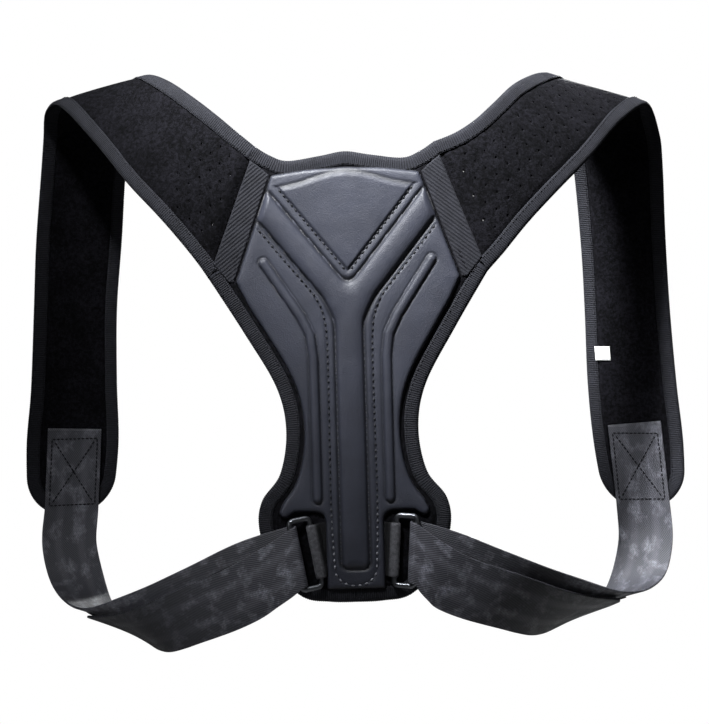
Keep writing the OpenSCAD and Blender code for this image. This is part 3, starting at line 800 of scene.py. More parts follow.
def cover_height(p):
    """Height of the moulded back over the panel's base."""
    x = np.abs(p[:, 0])
    z = p[:, 1]
    edge = edge_distance(p, cover_edge)
    ridge = ridge_distance(p)
    t = np.clip(-ridge / ARM_HALF, 0, 1)
    tube = RIDGE_H * mix(1.0, 0.88, ease((45 - z) / 50)) * (1 - (1 - t) ** 2.3) ** 0.62
    groove = -1.0 * bump(ridge - 0.6, 0.85) + 0.16 * bump(ridge - 3.1, 1.2)
    to_rib = both_sides(p, RIB_LINE)
    rib = RIB_H * np.sqrt(np.clip(1 - (to_rib / RIB_HALF) ** 2, 0, 1)) ** 0.9
    rib_groove = -0.5 * bump(to_rib - RIB_HALF - 0.45, 0.55)
    to_v, to_brow, seam = seams(p)
    chest = 0.95 * ease((to_v + 0.4) / 2.2) * ease((to_brow + 0.5) / 4.0)
    brow_groove = -0.3 * bump(to_brow + 0.9, 0.6) * ease(to_v / 3)
    below = (x - ARM_LINE[0][0]) * 0.779 - (z - ARM_LINE[0][1]) * 0.627
    shade = -0.55 * bump(ridge - 1.3, 1.4) * ease((below - 4) / 4) * ease((z - 42) / 14)
    seam = np.minimum(seam, both_sides(p, FOOT_ARC))
    seam_dip = -0.55 * bump(seam, 0.75)
    nearest = np.stack([np.abs(ridge), seam, np.abs(to_rib - RIB_HALF), edge]).min(axis=0)
    puff = 0.45 * (1 - np.exp(-nearest / 5)) * (ridge > 0) + 0.1 * ripple(p[:, 0], z, 34, 1)
    roll = np.sqrt(1 - (1 - np.clip(edge / 2.6, 0, 1)) ** 2)
    features = tube + groove + shade + rib + rib_groove + chest + brow_groove + seam_dip + puff
    return MOULD_T * roll + features * ease(edge / 4.5)


def painted_groove_shade(p):
    """Painted shade: how much darker the leather is in its grooves, seams, brow and edge, from 0 to
    1.
    """
    to_v, to_brow, seam = seams(p)
    shade = 0.8 * bump(ridge_distance(p) - 0.7, 1.3)
    shade = shade + 0.6 * bump(both_sides(p, RIB_LINE) - RIB_HALF - 0.2, 0.9)
    shade = shade + 0.12 * bump(seam, 1.2) + 0.7 * bump(to_brow + 0.3, 1.6) * ease(to_v / 3)
    return np.clip(shade + 0.5 * bump(edge_distance(p, cover_edge), 1.2), 0, 0.85)


def make_cover():
    fine, fine_faces = plan(cover_edge, 0.78)
    coarse, coarse_faces = plan(cover_edge, 2.6)
    rim = len(cover_edge)
    n = len(fine)
    outer = flat(fine, EDGE_T + GAP + cover_height(fine))
    under = np.maximum(cover_height(coarse) - SKIN_T, 0.0)
    inner = flat(coarse, EDGE_T + GAP + under)
    lower = np.where(coarse_faces < rim, coarse_faces, coarse_faces + n - rim)
    faces = list(fine_faces) + list(lower[:, ::-1])
    points = np.vstack([outer, inner[rim:]])
    piece = add_piece("moulded_cover_skin", points, faces, LEATHER, ["moulded_cover"])
    # the UV carries the painted shade of the grooves, for the leather's colour
    add_uv(piece, [[v, 0.0] for v in painted_groove_shade(fine)] + [[0.0, 0.0]] * (len(inner) - rim))
    return piece


def make_core():
    points, triangles = plan(thin_out(even(cover_edge, 2.0), 1.2), 2.4)
    top = EDGE_T + 0.06 + np.maximum(cover_height(points) - SKIN_T - 0.12, 0.05)
    plate = ridge_distance(points) < -2.2
    bottom = EDGE_T + 0.03 + np.where(plate, 1.25, 0.0)
    top = np.maximum(top, bottom + 0.03)
    add_layer("moulded_core_foam", points, triangles, bottom, top, FOAM, ["moulded_core"])


cover = make_cover()
make_core()

# ---- the panel's layers ----


def hole_pattern(outline, margin):
    spots = hex_grid(outline.min(axis=0), outline.max(axis=0), HOLE_PITCH)
    spots = spots[inside(spots, outline)]
    return spots[edge_distance(spots, outline) > margin]


def puckers(p, holes, depth, width):
    """Dips of the cloth towards its perforations."""
    if not len(holes):
        return np.zeros(len(p))
    nearest = np.full(len(p), 99.0)
    for h in holes:
        near = np.abs(p[:, 0] - h[0]) < width * 3
        nearest[near] = np.minimum(nearest[near], np.linalg.norm(p[near] - h, axis=1))
    return -depth * bump(nearest, width)


layer_edge = thin_out(even(panel_in(BIND_T + 0.1), 2.5), 1.0)


def make_lining():
    holes = hole_pattern(layer_edge, 14.0)
    p, triangles = plan(layer_edge, 2.4, holes)
    edge = edge_distance(p, panel_edge)
    bulge = 0.9 * ease((edge - BIND_W + 0.4) / 2.2)
    bulge = bulge + 0.5 * (1 - np.exp(-np.maximum(edge - BIND_W, 0) / 10))
    low = BIND_T + 0.03 - bulge - 0.12 * ripple(p[:, 0], p[:, 1], 30, 3) * ease((edge - BIND_W) / 8)
    low = low - puckers(p, holes, 0.35, 2.2) * ease((edge - BIND_W) / 6)
    return add_layer("back_lining_knit", p, triangles, low, BIND_T + FABRIC_T, LINING,
        ["back_lining"])


def make_panel_foam():
    p, triangles = plan(layer_edge, 5.0)
    add_layer("back_foam_core", p, triangles, BIND_T + FABRIC_T + GAP, EDGE_T - 1.72, FOAM,
        ["back_foam"])


def make_base():
    p, triangles = plan(layer_edge, 1.7)
    edge = edge_distance(p, panel_edge)
    beyond = np.where(inside(p, cover_edge), 0.0, edge_distance(p, cover_edge))
    top = EDGE_T - BIND_T - 0.03 + 0.88 * ease((edge - BIND_W + 0.3) / 1.4)
    swell = 0.7 * ease(beyond / 5) * ease((edge - BIND_W) / 3)
    top = top + swell * (1 + 0.4 * ripple(p[:, 0], p[:, 1], 17, 5))
    return add_layer("back_base_plush", p, triangles, EDGE_T - 1.7, top, PLUSH, ["back_base"])


lining = make_lining()
make_panel_foam()
base = make_base()

# ---- bindings: ribbed tape folded round an edge ----

RIB_RELIEF = 0.22
# how far a tape runs past its end, so that it meets the next one
END_REACH = 0.8
# the folded tape's section as [distance in from the edge, level]
TAPE_OUTER = [[9.05, 0.5], [8.6, 0.08], [7.2, 0.0], [5.0, 0.0], [3.0, 0.03], [1.5, 0.3],
    [0.5, 1.1], [0.03, 2.2], [0.03, 3.4], [0.5, 4.5], [1.5, 5.3], [3.0, 5.57], [5.0, 5.6],
    [7.2, 5.6], [8.6, 5.52], [9.05, 5.1]]
TAPE_INNER = [[8.9, 4.75], [2.2, 4.72], [1.1, 4.2], [0.95, 3.2], [0.95, 2.4], [1.1, 1.4],
    [2.2, 0.88], [8.9, 0.86]]


def tape_section():
    """The section, its ways out, and 1 where it carries ribs."""
    loop = arr(TAPE_OUTER + TAPE_INNER)
    ribbed = np.zeros(len(loop))
    ribbed[2:len(TAPE_OUTER) - 2] = 1.0
    return loop, -right_of(round_headings(loop)), ribbed


def folded_tape(line, inward, outward, start=None, end=None, thin=None):
    """Ribbed tape folded round an edge line; start and end are ways in at its two ends.

    thin scales its levels along the line."""
    s = lengths(line)
    count = int(2 * round(s[-1] / RIB_PITCH)) + 1
    wanted = np.linspace(0, s[-1], count)
    line = at_length(s, line, wanted)
    line[0] -= unit(line[1] - line[0]) * END_REACH
    line[-1] += unit(line[-1] - line[-2]) * END_REACH
    inward = unit(at_length(s, inward, wanted))
    outward = unit(at_length(s, outward, wanted))
    if start is not None:
        inward[0] = start
    if end is not None:
        inward[-1] = end
    thin = np.ones(count) if thin is None else np.interp(wanted, s, thin)
    loop, normal, ribbed = tape_section()
    wave = 0.12 * ripple(wanted, wanted * 0, 26, 2)
    sections = []
    for k in range(count):
        shape = loop + normal * (ribbed * RIB_RELIEF * (0.5 if k % 2 else -0.5))[:, None]
        shape = shape + np.stack([wave[k] * ease((loop[:, 0] - 4) / 5), 0 * loop[:, 0]], axis=1)
        sections.append(line[k] + shape[:, :1] * inward[k] + shape[:, 1:] * outward[k] * thin[k])
    # its UV's second value counts the section's points and isn't a length
    uv = [[along, across] for along in wanted for across in range(len(loop))]
    return *swept(sections), uv


def add_tape(name, made, nodes, side="right"):
    piece = add_piece(name, *made[:2], TAPE, nodes, side)
    add_uv(piece, made[2])


# the skirt's point where side and bottom tape meet
SIDE_END = 80


def panel_tape(line, start=None, end=None):
    inward = flat(beside(line), 0.0)
    outs = np.broadcast_to(PANEL_OUT, inward.shape)
    ends = [None if e is None else flat(arr([e]), 0.0)[0] for e in (start, end)]
    return folded_tape(flat(line, 0.0), inward, outs, *ends)


def panel_tape_stitches(line):
    row = line + TAPE_STITCH_IN * beside(line)
    return stitches_along(flat(row, EDGE_T + GAP), PANEL_OUT, *TAPE_STITCH)


side_line = skirt[:SIDE_END + 1]
bottom_line = skirt[SIDE_END:len(skirt) - SIDE_END]
add_tape("neck_binding_tape", panel_tape(neck, SEAM_DIR * [-1, 1], SEAM_DIR), ["neck_binding"])
add_tape("bottom_binding_tape", panel_tape(bottom_line), ["bottom_binding"])
for side in SIDES:
    add_tape(f"{side}_side_binding_tape", panel_tape(side_line, -SEAM_DIR),
        [f"{side}_side_binding"], side)
add_piece("panel_binding_stitches",
    *gather(panel_tape_stitches(neck) + panel_tape_stitches(skirt)), THREAD)

# ---- gussets ----

GUSSET_RIB = 2.0
GUSSET_RELIEF = 0.18
GUSSET_H = 0.75
GUSSET_TURN = math.radians(38)


def make_gusset(side):
    top = neck_in(BIND_W + 0.3)
    foot = skirt_in(BIND_W + 0.3)
    outline = np.vstack([[top[-1], foot[0], foot[3]],
        [arr(MOULD_CORNERS[3]) + [1.0, 0], arr(MOULD_CORNERS[2]) + [1.0, 0.2]], [top[-8]]])
    outline = even(outline, 0.8)
    p, triangles = plan(outline, 0.43)
    edge = edge_distance(p, outline)
    across_ribs = p[:, 0] * math.sin(GUSSET_TURN) + p[:, 1] * math.cos(GUSSET_TURN)
    ribs = GUSSET_RELIEF * np.cos(2 * math.pi / GUSSET_RIB * across_ribs) * ease(edge / 1.2)
    level = EDGE_T + GUSSET_H * np.sqrt(1 - (1 - np.clip(edge / 1.1, 0, 1)) ** 2) + ribs + 0.05
    level = level + 0.12 * ripple(p[:, 0], p[:, 1], 24, 7)
    add_layer(f"{side}_gusset_tape", p, triangles, EDGE_T + 0.01, level, RIBBED,
        [f"{side}_gusset"], side)


for side in SIDES:
    make_gusset(side)

# ---- shoulder pads ----

PAD_INSET = BIND_T + FOLD_GAP
PAD_LOW = BIND_T + FOLD_GAP
PAD_HIGH = EDGE_T - BIND_T - FOLD_GAP


class Pad:
    """A pad's surface: place() turns [distance along, across] and a level into a point."""

    def __init__(self, rows):
        rows = arr(rows)
        self.a = spline(rows[:, 0], PAD_STEPS)
        self.b = spline(rows[:, 1], PAD_STEPS)
        self.mid = (self.a + self.b) / 2
        self.s = lengths(self.mid)
        self.length = self.s[-1]
        self.width = np.linalg.norm(self.b - self.a, axis=1)
        out = unit(np.cross(unit(self.b - self.a), headings(self.mid)))
        blend = ease(self.s / 14)[:, None]
        self.out = unit(mix(PANEL_OUT, out, blend))
        self.row_ends = self.s[::PAD_STEPS]
        # foam and tape are pressed thinner where the pad bends over the shoulder
        self.crest = ease((self.out[:, 2] - 0.2) / 0.5)
        self.thin = 1 - 0.28 * self.crest

    def at(self, values, s):
        if values.ndim == 1:
            return np.interp(s, self.s, values)
        return at_length(self.s, values, s)

    def place(self, p, level):
        s = p[:, 0]
        a = self.at(self.a, s)
        b = self.at(self.b, s)
        f = 0.5 + p[:, 1] / self.at(self.width, s)
        level = np.broadcast_to(level, s.shape) * self.at(self.thin, s)
        return a + (b - a) * f[:, None] + unit(self.at(self.out, s)) * level[:, None]

    def outline(self, e, pitch=3.0):
        """Outline in the plan, moved in by e from the pad's edge, with round corners."""
        r = TIP_R - e
        end = self.length - e
        straight = np.linspace(0, end - r, max(3, int((end - r) / pitch)))
        angle = np.linspace(0, math.pi / 2, 14)[1:]
        round_s = end - r + r * np.sin(angle)
        s = np.concatenate([straight, round_s])
        pull = np.concatenate([np.zeros(len(straight)), r * (1 - np.cos(angle))])
        half = self.at(self.width, s) / 2 - e - pull
        neck_side = np.stack([s, -half], axis=1)
        arm_side = np.stack([s, half], axis=1)
        across = even(np.stack([neck_side[-1], arm_side[-1]]), pitch)[1:-1]
        steps = np.linspace(0, 1, int(half[0] * 2 / pitch))[1:-1, None]
        seam = mix(arm_side[0], neck_side[0], steps)
        loop = np.vstack([neck_side, across[:len(across) // 2], arm_side[::-1], seam])
        return thin_out(loop, 0.25)

    def edge(self, p):
        """Distance from the pad's free edge; the seam to the panel doesn't count."""
        loop = self.outline(0.0, 4.0)
        free = loop[loop[:, 0] > 0.5]
        free = np.vstack([[0, free[0, 1]], free, [0, free[-1, 1]]])
        return line_distance(p, free)


PADS = {side: Pad(PAD_ROWS[side]) for side in SIDES}
# how far each pad's perforations go from its seam
HOLES_REACH = {"left": 46, "right": 150}
WAVE_SEED = {"left": 4, "right": 6}


def pad_levels(pad, p, holes, seed):
    """Levels of the pad's body side and outer side."""
    edge = pad.edge(p)
    near_seam = ease(p[:, 0] / 7)
    rise = ease((edge - BIND_W + 0.5) / 2.0)
    soft = 1 - np.exp(-np.maximum(edge - BIND_W, 0) / 9)
    wave = ripple(p[:, 0], p[:, 1], 42, seed) * ease((edge - BIND_W) / 10)
    dips = puckers(p, holes, 0.42, 2.1) * ease((edge - BIND_W) / 3)
    puff = (1.35 * rise + 1.5 * soft) * (1 - 0.35 * pad.at(pad.crest, p[:, 0]))
    top = PAD_HIGH + near_seam * (puff + 0.35 * wave + dips)
    low = PAD_LOW - near_seam * (1.6 * rise + 0.35 * soft + 0.2 * wave + dips * 0.8)
    return low, top


def pad_holes(pad, reach):
    """Perforations in the plan, off the edge tape and the seam and as far as a reach."""
    free = pad.outline(0.0)
    spots = hex_grid(free.min(axis=0) + [5, 2], free.max(axis=0), HOLE_PITCH)
    spots = spots[inside(spots, free)]
    keep = (pad.edge(spots) > BIND_W + 4.5) & (spots[:, 0] > 7) & (spots[:, 0] < reach)
    return spots[keep]


def make_pad(side):
    pad = PADS[side]
    loop = pad.outline(PAD_INSET)
    holes = pad_holes(pad, HOLES_REACH[side])
    rings = np.vstack([circle2(h, HOLE_R * 2.0, 8, 0.2) for h in holes])
    p, triangles = plan(loop, 2.3, holes, rings)
    low, top = pad_levels(pad, p, holes, WAVE_SEED[side])
    layers = [
        ("lining", low, low + FABRIC_T, LINING),
        ("foam", low + FABRIC_T + GAP, top - FABRIC_T - GAP, FOAM),
        ("cover", top - FABRIC_T, top, PLUSH)]
    for name, bottom, upper, look in layers:
        piece = add_layer(f"{side}_pad_{name}_soft", p, triangles, bottom, upper, look,
            [f"{side}_pad_{name}"], side, pad.place)


def pad_edge_line(pad):
    """The pad's free edge from the neck side round the front end to the arm side."""
    loop = pad.outline(0.0, 2.0)
    free = loop[loop[:, 0] > 1e-6]
    return np.vstack([[0, -pad.width[0] / 2], free, [0, pad.width[0] / 2]])


def make_pad_binding(side):
    pad = PADS[side]
    edge2 = pad_edge_line(pad)
    s = lengths(edge2)
    edge2 = at_length(s, edge2, np.linspace(0, s[-1], int(s[-1] / 1.2)))
    line = pad.place(edge2, 0.0)
    thin = pad.at(pad.thin, edge2[:, 0])
    outs = unit(pad.place(edge2, 1.0) - line)
    inner2 = edge2 - 2.0 * beside(edge2)
    inner2[:, 0] = np.maximum(inner2[:, 0], 0)
    ways = pad.place(inner2, 0.0) - line
    run = headings(line)
    ways = unit(ways - run * np.sum(ways * run, axis=1, keepdims=True))
    square = np.cross(run, ways)
    square = unit(square) * np.sign(np.sum(square * outs, axis=1, keepdims=True))
    seam = unit(pad.b[0] - pad.a[0])
    made = folded_tape(line, ways, square, seam, -seam, thin)
    add_tape(f"{side}_pad_binding_tape", made, [f"{side}_pad_binding"], side)
    row = line + ways * TAPE_STITCH_IN
    parts = stitches_along(row + outs * (EDGE_T * thin + GAP)[:, None], outs, *TAPE_STITCH)
    parts += stitches_along(row - outs * GAP, -outs, *TAPE_STITCH)
    add_piece(f"{side}_pad_binding_stitches", *gather(parts), THREAD, (), side)


for side in SIDES:
    make_pad(side)
    make_pad_binding(side)

# ---- stitches of the moulded back ----


def cover_stitches(line):
    line = spline(line, 4)
    s = lengths(line)
    p = at_length(s, line, np.linspace(0, s[-1], int(s[-1] / 1.5)))
    return stitches_along(flat(p, EDGE_T + 0.3 + cover_height(p)), PANEL_OUT, *COVER_STITCH)


chest_row = [[1.0, 66.9], [2.7, 67.9], [4.4, 70.2], [10.2, 77.6], [42.3, 118.4]]
parts = []
for row in (chest_row, FLANK_STITCHES, FOOT_ARC[1:]):
    parts += cover_stitches(row)
    parts += cover_stitches(flip2(row))
add_piece("cover_stitches", *gather(parts), COVER_THREAD, ["cover_stitching"])

# ---- rings and their tabs ----


def bar_dir(lean):
    return arr([math.sin(lean), 0, math.cos(lean)])


def ring_dir(lean):
    return arr([math.cos(RING_LIFT) * math.cos(lean), -math.sin(RING_LIFT),
        -math.cos(RING_LIFT) * math.sin(lean)])


def make_ring(side):
    lean = LEAN[side]
    up = bar_dir(lean)
    to = ring_dir(lean)
    normal = np.cross(up, to)
    near, far, high = RING_CORNER, RING_W - RING_CORNER, RING_H / 2 - RING_CORNER
    loop = []
    for cx, cz, first in ((far, high, 0), (near, high, 90), (near, -high, 180), (far, -high, 270)):
        for turn in np.radians(np.linspace(first, first + 90, 9)):
            loop.append([cx + RING_CORNER * math.cos(turn), cz + RING_CORNER * math.sin(turn)])
    loop = even(arr(loop), 1.5)
    angles = np.arange(20) * math.pi / 10
    sections = []
    for p, out in zip(loop, right_of(round_headings(loop))):
        middle = BAR_AT + to * p[0] + up * p[1]
        side_way = to * out[0] + up * out[1]
        sections.append([middle + WIRE_R * (math.cos(a) * side_way + math.sin(a) * normal)
            for a in angles])
    add_piece(f"{side}_ring_wire", *swept(sections, ring=True), RING_METAL, [f"{side}_ring"], side,
        f"{side}_ring_body")


def make_tab(side):
    """Webbing tab: a leaf under the moulded back and a turn round the ring's inner bar."""
    lean = LEAN[side]
    up = bar_dir(lean)
    to = arr([math.cos(lean), 0, -math.sin(lean)])
    back = arr([0, 1, 0])
    inner = WIRE_R + 0.08
    path = [[-TAB_REACH + 0.3, inner + 0.3], [-9, inner + 0.3], [-5, inner + 0.25],
        [-2.4, inner + 0.12]]
    path += [[inner * math.sin(a), inner * math.cos(a)] for a in np.radians(np.arange(0, 200, 20))]
    path += [[-2.0, -inner * 0.62], [-2.55, -inner * 0.1], [-3.2, inner * 0.28],
        [-4.6, inner + 0.1]]
    line = spline(path, 3)
    normal = -beside(line)
    thick = TAB_T * 0.86
    columns = np.linspace(-TAB_W / 2, TAB_W / 2, 44)
    fray = 0.16 * ripple(columns, columns * 0, 5, 2)
    sections = []
    for c, f in zip(columns, fray):
        soft = min(1.0, (TAB_W / 2 - abs(c)) / 0.8 + 0.35)
        shaped = np.vstack([line, (line + normal * thick * soft * (1 + f))[::-1]])
        sections.append([BAR_AT + to * q[0] + back * q[1] + up * c for q in shaped])
    piece = add_piece(f"{side}_ring_tab_loop", *swept(sections), TAB_WEB, [f"{side}_ring_tab"],
        side)
    # the UV's first value places the painted highlight: 0 under the back, rising to 2 mm on the
    # turn
    turned = np.clip(line[:, 0] + 3.4, 0, 2) * (line[:, 1] < inner + 0.1)
    add_uv(piece, [[t, c] for c in columns for t in np.concatenate([turned, turned[::-1]])])


for side in SIDES:
    make_ring(side)
    make_tab(side)

# ---- straps ----


def pad_spot(pad, d, c=0.0):
    """Point on a pad's body side, a distance d up from its front end and c from its middle."""
    s = pad.length - d
    at = pad.place(arr([[s, c], [s, c + 1], [s - 1, c]]), 0.0)
    out = unit(np.cross(at[1] - at[0], at[0] - at[2]))
    return at[0], unit(at[1] - at[0]), out


def strap_line(side):
    """Stations of a strap from its ring to its sewn end: points, ways across, outward ways."""
    pad = PADS[side]
    lean = LEAN[side]
    route = arr(STRAP_ROUTE[side])
    bar = BAR_AT + RING_W * ring_dir(lean)
    up = bar_dir(lean)
    away = route[0] - bar
    start = unit(away - up * (away @ up))
    out = np.cross(start, up)
    sewn = [pad_spot(pad, d) for d in (3, SEWN_L / 3, SEWN_L * 2 / 3, SEWN_L)]
    points = np.vstack([[bar - out * (LOOP_R + WEB_T / 2)], route,
        [s[0] - s[2] * (FOLD_GAP + WEB_T / 2) for s in sewn]])
    turns = np.vstack([[up], arr(ACROSS_ROUTE), [s[1] for s in sewn]])
    line = spline(points, STRAP_STEPS)
    turn = spline(turns, STRAP_STEPS)
    along = headings(line)
    along[0] = start
    for i in range(STRAP_STEPS):
        along[i] = unit(mix(start, along[i], i / STRAP_STEPS))
    across = unit(turn - along * np.sum(turn * along, axis=1, keepdims=True))
    return bar, line, across, np.cross(along, across)


class Strap:
    """A strap's stations, with smooth curves between them over the station number."""

    def __init__(self, side):
        self.bar, self.line, self.across, self.out = strap_line(side)
        self.last = len(self.line) - 1

    def smooth(self, values, i):
        i = np.clip(np.asarray(i, float), 0, self.last)
        whole = np.minimum(i.astype(int), self.last - 1)
        return arr([curve_at(values, w, t) for w, t in zip(whole, i - whole)])

    def frame(self, i):
        across = unit(self.smooth(self.across, i))
        return self.smooth(self.line, i), across, unit(self.smooth(self.out, i))


STRAPS = {side: Strap(side) for side in SIDES}


def rise_at(i):
    """Height of the tail over the strap; beyond its hook tape it lies flatter."""
    i = np.asarray(i, float)
    rise = mix(2 * LOOP_R + WEB_T, TAIL_RISE, ease(np.clip((i - 1) / 3, 0, 1)))
    rise = mix(rise, TAIL_RISE - CLOSURE_GAP + 0.1, ease((i - 9) / 3))
    return mix(rise, WEB_T + TAPE_T + 0.3, ease(i - HOOK_TAPE_SPAN[1]))


def drop_at(i):
    """How far the tail lies below the strap, by smooth steps between whole stations."""
    i = np.clip(np.asarray(i, float), 0, len(FIRST_DROPS) - 1.001)
    return -arr([curve_at(arr(FIRST_DROPS), int(v), v - int(v)) for v in i])


def band_columns(half, thick):
    """Section of webbing as [across, level], with rounded selvedges and its outer face first."""
    cols = np.linspace(-half + 0.9, half - 0.9, 21)
    t = thick / 2
    bead = [[half - 0.45, t * 0.98], [half - 0.12, t * 0.72], [half, 0.0],
        [half - 0.12, -t * 0.72], [half - 0.45, -t * 0.98]]
    top = [[c, t] for c in cols]
    bottom = [[c, -t] for c in cols[::-1]]
    other = [[-c, -l] for c, l in bead]
    return arr(top + bead + bottom + other)


def make_band(name, frames, half, thick, look, nodes, side, shift=0.0, end_r=0.1,
        body="back_panel"):
    """A band of webbing through frames of (points, ways across, outward ways).

    Its UV runs along and across; end_r is the radius of the corners at its last end."""
    points, across, outs = frames
    section = band_columns(half, thick)
    section[:, 0] += shift
    s = lengths(points)
    to_end = np.minimum(s[-1] - s, end_r)
    width = 1 - (end_r - np.sqrt(end_r ** 2 - (end_r - to_end) ** 2)) / half
    sections = []
    for k in range(len(points)):
        sections.append(points[k] + section[:, :1] * width[k] * across[k]
            + section[:, 1:] * outs[k])
    piece = add_piece(name, *swept(sections), look, nodes, side, body)
    add_uv(piece, [[s[k], c] for k in range(len(points)) for c in section[:, 0]])
    return piece


def make_run(side):
    strap = STRAPS[side]
    i = np.linspace(0, strap.last, strap.last * 4 + 1)
    make_band(f"{side}_strap_webbing", strap.frame(i), WEB_W / 2, WEB_T, WEBBING,
        [f"{side}_strap_run"], side)


def make_tail(side):
    """The turn round the ring and the free tail."""
    strap = STRAPS[side]
    across0 = strap.across[0]
    out0 = strap.out[0]
    along0 = np.cross(across0, out0)
    r = LOOP_R + WEB_T / 2
    points = []
    across = []
    outs = []
    for turn in np.radians(np.linspace(2, 176, 16)):
        way = -(math.cos(turn) * out0 + math.sin(turn) * along0)
        points.append(strap.bar + r * way - across0 * FIRST_DROPS[0] * (turn / math.pi) ** 2)
        across.append(across0)
        outs.append(way)
    i = np.linspace(0, TAIL_END - TAIL_SHORT, TAIL_END * 4 + 1)
    p, a, o = strap.frame(i)
    p = p + a * drop_at(i)[:, None] + o * rise_at(i)[:, None]
    p[0] = strap.bar + r * out0 - across0 * FIRST_DROPS[0]
    frames = np.vstack([points, p]), np.vstack([across, a]), np.vstack([outs, o])
    piece = make_band(f"{side}_strap_tail_webbing", frames, WEB_W / 2, WEB_T, SHADED_TAIL_WEBBING,
        [f"{side}_strap_tail"], side, 0.0, TAIL_END_R, None)
    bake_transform(piece)


def make_tapes(side):
    """Hook and loop tapes, only as wide as the tail covers the strap."""
    strap = STRAPS[side]
    half = WEB_W / 2 - 2 - TAIL_DROP / 2
    i = np.linspace(LOOP_TAPE_SPAN[0], LOOP_TAPE_SPAN[1], 45)
    p, a, o = strap.frame(i)
    make_band(f"{side}_loop_pile_tape", (p + o * (WEB_T + TAPE_T) / 2, a, o), half, TAPE_T,
        LOOP_PILE, [f"{side}_loop_tape"], side, -TAIL_DROP / 2)
    i = np.linspace(HOOK_TAPE_SPAN[0], HOOK_TAPE_SPAN[1] - HOOK_SHORT, 25)
    p, a, o = strap.frame(i)
    level = rise_at(i) - (WEB_T + TAPE_T) / 2
    p = p + a * drop_at(i)[:, None] + o * level[:, None]
    make_band(f"{side}_hook_pile_tape", (p, a, o), half, TAPE_T, HOOKS, [f"{side}_hook_tape"],
        side, TAIL_DROP / 2, body=f"{side}_tail_body")


BOX_FOOT = 7.0
BOX_L = SEWN_L - 2 * BOX_FOOT
BOX_HALF = WEB_W / 2 - 3
CROSS_GAP = 2.0


def make_box_stitches(side):
    pad = PADS[side]
    foot, top = BOX_FOOT, BOX_FOOT + BOX_L
    low, high = foot + CROSS_GAP, top - CROSS_GAP
    w = BOX_HALF
    v = BOX_HALF - CROSS_GAP
    parts = []
    for a, b in (([-w, foot], [w, foot]), ([-w, top], [w, top]), ([-w, foot], [-w, top]),
            ([w, foot], [w, top]), ([-v, low], [v, high]), ([-v, high], [v, low])):
        spots = mix(arr(a), arr(b), np.linspace(0, 1, 12)[:, None])
        frames = [pad_spot(pad, d, c) for c, d in spots]
        outs = arr([-f[2] for f in frames])
        line = arr([f[0] for f in frames]) + outs * (FOLD_GAP + WEB_T + GAP + 0.1)
        parts += stitches_along(line, outs, *BOX_STITCH)
    add_piece(f"{side}_box_stitches", *gather(parts), THREAD, [f"{side}_box_stitching"], side)


LABEL_L = 10.0
LABEL_EDGES = (7.5, 18.5)


def make_care_label():
    """A blank label on the right pad's body side, between its eleventh and twelfth row."""
    pad = PADS["right"]
    s = pad.row_ends[10] + 0.7 * (pad.row_ends[11] - pad.row_ends[10])
    inner, outer = (edge - pad.at(pad.width, s) / 2 for edge in LABEL_EDGES)
    corners = arr([[s - LABEL_L, inner], [s, inner], [s, outer], [s - LABEL_L, outer]])
    p, triangles = plan(even(corners, 1.0), 1.2)
    lift = -0.75 - 0.25 * ripple(p[:, 0], p[:, 1], 12, 3)
    add_layer("care_label_blank", p, triangles, lift - 0.3, lift, LABEL, ["care_label"],
        place=pad.place)


for side in SIDES:
    make_run(side)
    make_tail(side)
    make_tapes(side)
    make_box_stitches(side)
make_care_label()

# the spine plate keeps its CAD shape, hidden inside the moulded back
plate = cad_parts["spine_plate"]
plate.data.materials.clear()
plate.data.materials.append(make_plastic())

# ---- camera, floor and light ----

TARGET = Vector((2.5, 0, 8.8)) * MM
DISTANCE = 1.3
AZIMUTH = math.radians(1.2)
ROLL = math.radians(1.6)
LENS = 102.93
FLOOR_HALF = 0.45
FLOOR_LEVEL = -0.42
AMBIENT = 0.018


def make_camera():
    data = bpy.data.cameras.new("camera")
    data.lens = LENS
    data.sensor_width = 36
    data.sensor_fit = "AUTO"
    data.clip_end = 20
    camera = add_object("camera", data)
    view = Vector((-math.sin(AZIMUTH), math.cos(AZIMUTH), 0))
    side_way = Vector((math.cos(AZIMUTH), math.sin(AZIMUTH), 0))
    up = Vector((0, 0, 1))
    right = side_way * math.cos(ROLL) - up * math.sin(ROLL)
    above = side_way * math.sin(ROLL) + up * math.cos(ROLL)
    turn = Matrix((right, above, -view)).transposed().to_4x4()
    camera.matrix_world = Matrix.Translation(TARGET - view * DISTANCE) @ turn
    SCENE.camera = camera


def add_light(name, kind, at, aim, power, colour, **settings):
    data = bpy.data.lights.new(name, kind)
    data.energy = power
    data.color = colour
    for key, value in settings.items():
        setattr(data, key, value)
    light = add_object(name, data)
    light.location = at
    light.rotation_euler = (Vector(aim) - Vector(at)).to_track_quat("-Z", "Y").to_euler()


def area_light(name, at, aim, size, power, colour=(1, 1, 1)):
    add_light(name, "AREA", at, aim, power, colour, shape="RECTANGLE", size=size[0],
        size_y=size[1])


def spot_light(name, at, aim, angle, power, radius):
    add_light(name, "SPOT", at, aim, power, (0.96, 0.98, 1.0), spot_size=math.radians(angle),
        spot_blend=1.0, shadow_soft_size=radius)


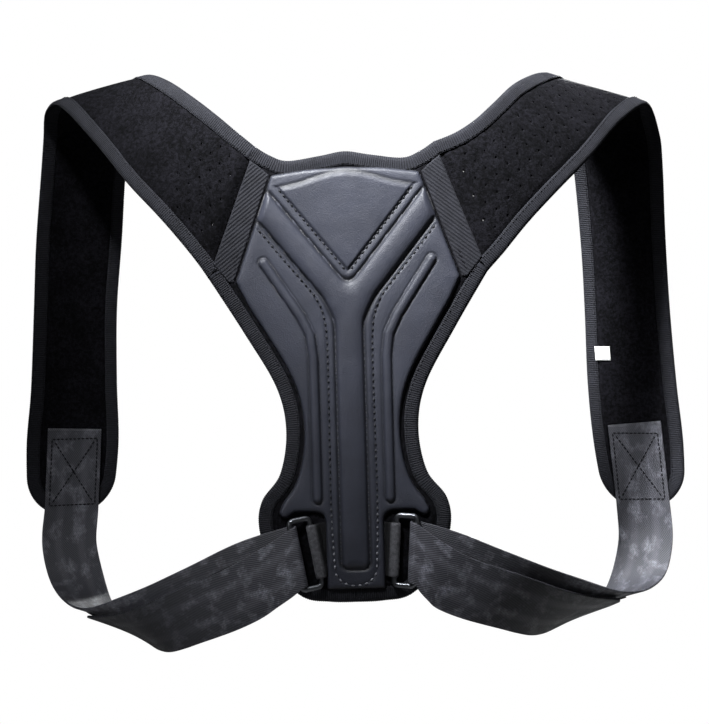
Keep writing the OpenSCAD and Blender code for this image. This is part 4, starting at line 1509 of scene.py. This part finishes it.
def make_floor():
    mesh = bpy.data.meshes.new("floor")
    r, z = FLOOR_HALF, FLOOR_LEVEL
    mesh.from_pydata([(-r, -r, z), (r, -r, z), (r, r, z), (-r, r, z)], [], [(0, 1, 2, 3)])
    floor = add_object("floor", mesh)
    s = Shader("floor_paint", Specular_IOR_Level=0.2)
    at = s.place()
    mesh.materials.append(s.finish(s.noise(at, 3.0), (0.80, 0.80, 0.80), (0.84, 0.84, 0.84),
        s.spread(s.noise(at, 9.0), 0.7, 0.8)))


def make_world():
    world = bpy.data.worlds.new("studio")
    world.use_nodes = True
    nodes = world.node_tree.nodes
    links = world.node_tree.links
    shown = nodes["Background"]
    shown.inputs["Color"].default_value = (1, 1, 1, 1)
    lit = nodes.new("ShaderNodeBackground")
    lit.inputs["Color"].default_value = (0.95, 0.97, 1.0, 1)
    lit.inputs["Strength"].default_value = AMBIENT
    path = nodes.new("ShaderNodeLightPath")
    both = nodes.new("ShaderNodeMixShader")
    links.new(path.outputs["Is Camera Ray"], both.inputs["Fac"])
    links.new(lit.outputs[0], both.inputs[1])
    links.new(shown.outputs[0], both.inputs[2])
    links.new(both.outputs[0], nodes["World Output"].inputs["Surface"])
    SCENE.world = world


make_camera()
make_world()
make_floor()
spot_light("key", (-0.32, -0.62, 1.0), (0.0, 0, 0.262), 24.5, 385, 0.1)
area_light("top", (0.0, -0.16, 0.56), (0, 0, 0.1), (0.7, 0.2), 1.1, (0.97, 0.98, 1.0))
area_light("fill", (0.9, -1.1, -0.05), (0.1, 0, -0.05), (0.7, 0.7), 0.5)
spot_light("right_strap", (0.5, -0.9, 0.15), (0.235, 0.13, -0.065), 13, 34, 0.06)
spot_light("left_strap", (-0.5, -0.9, 0.15), (-0.15, 0.06, -0.12), 16, 18, 0.06)
spot_light("back", (0.25, 1.1, 0.5), (0, 0, 0.03), 30, 120, 0.15)
area_light("floor_wash", (0, 0, -0.26), (0, 0, FLOOR_LEVEL), (0.8, 0.8), 0.35)
SCENE.view_settings.view_transform = "Standard"

bpy.context.view_layer.update()
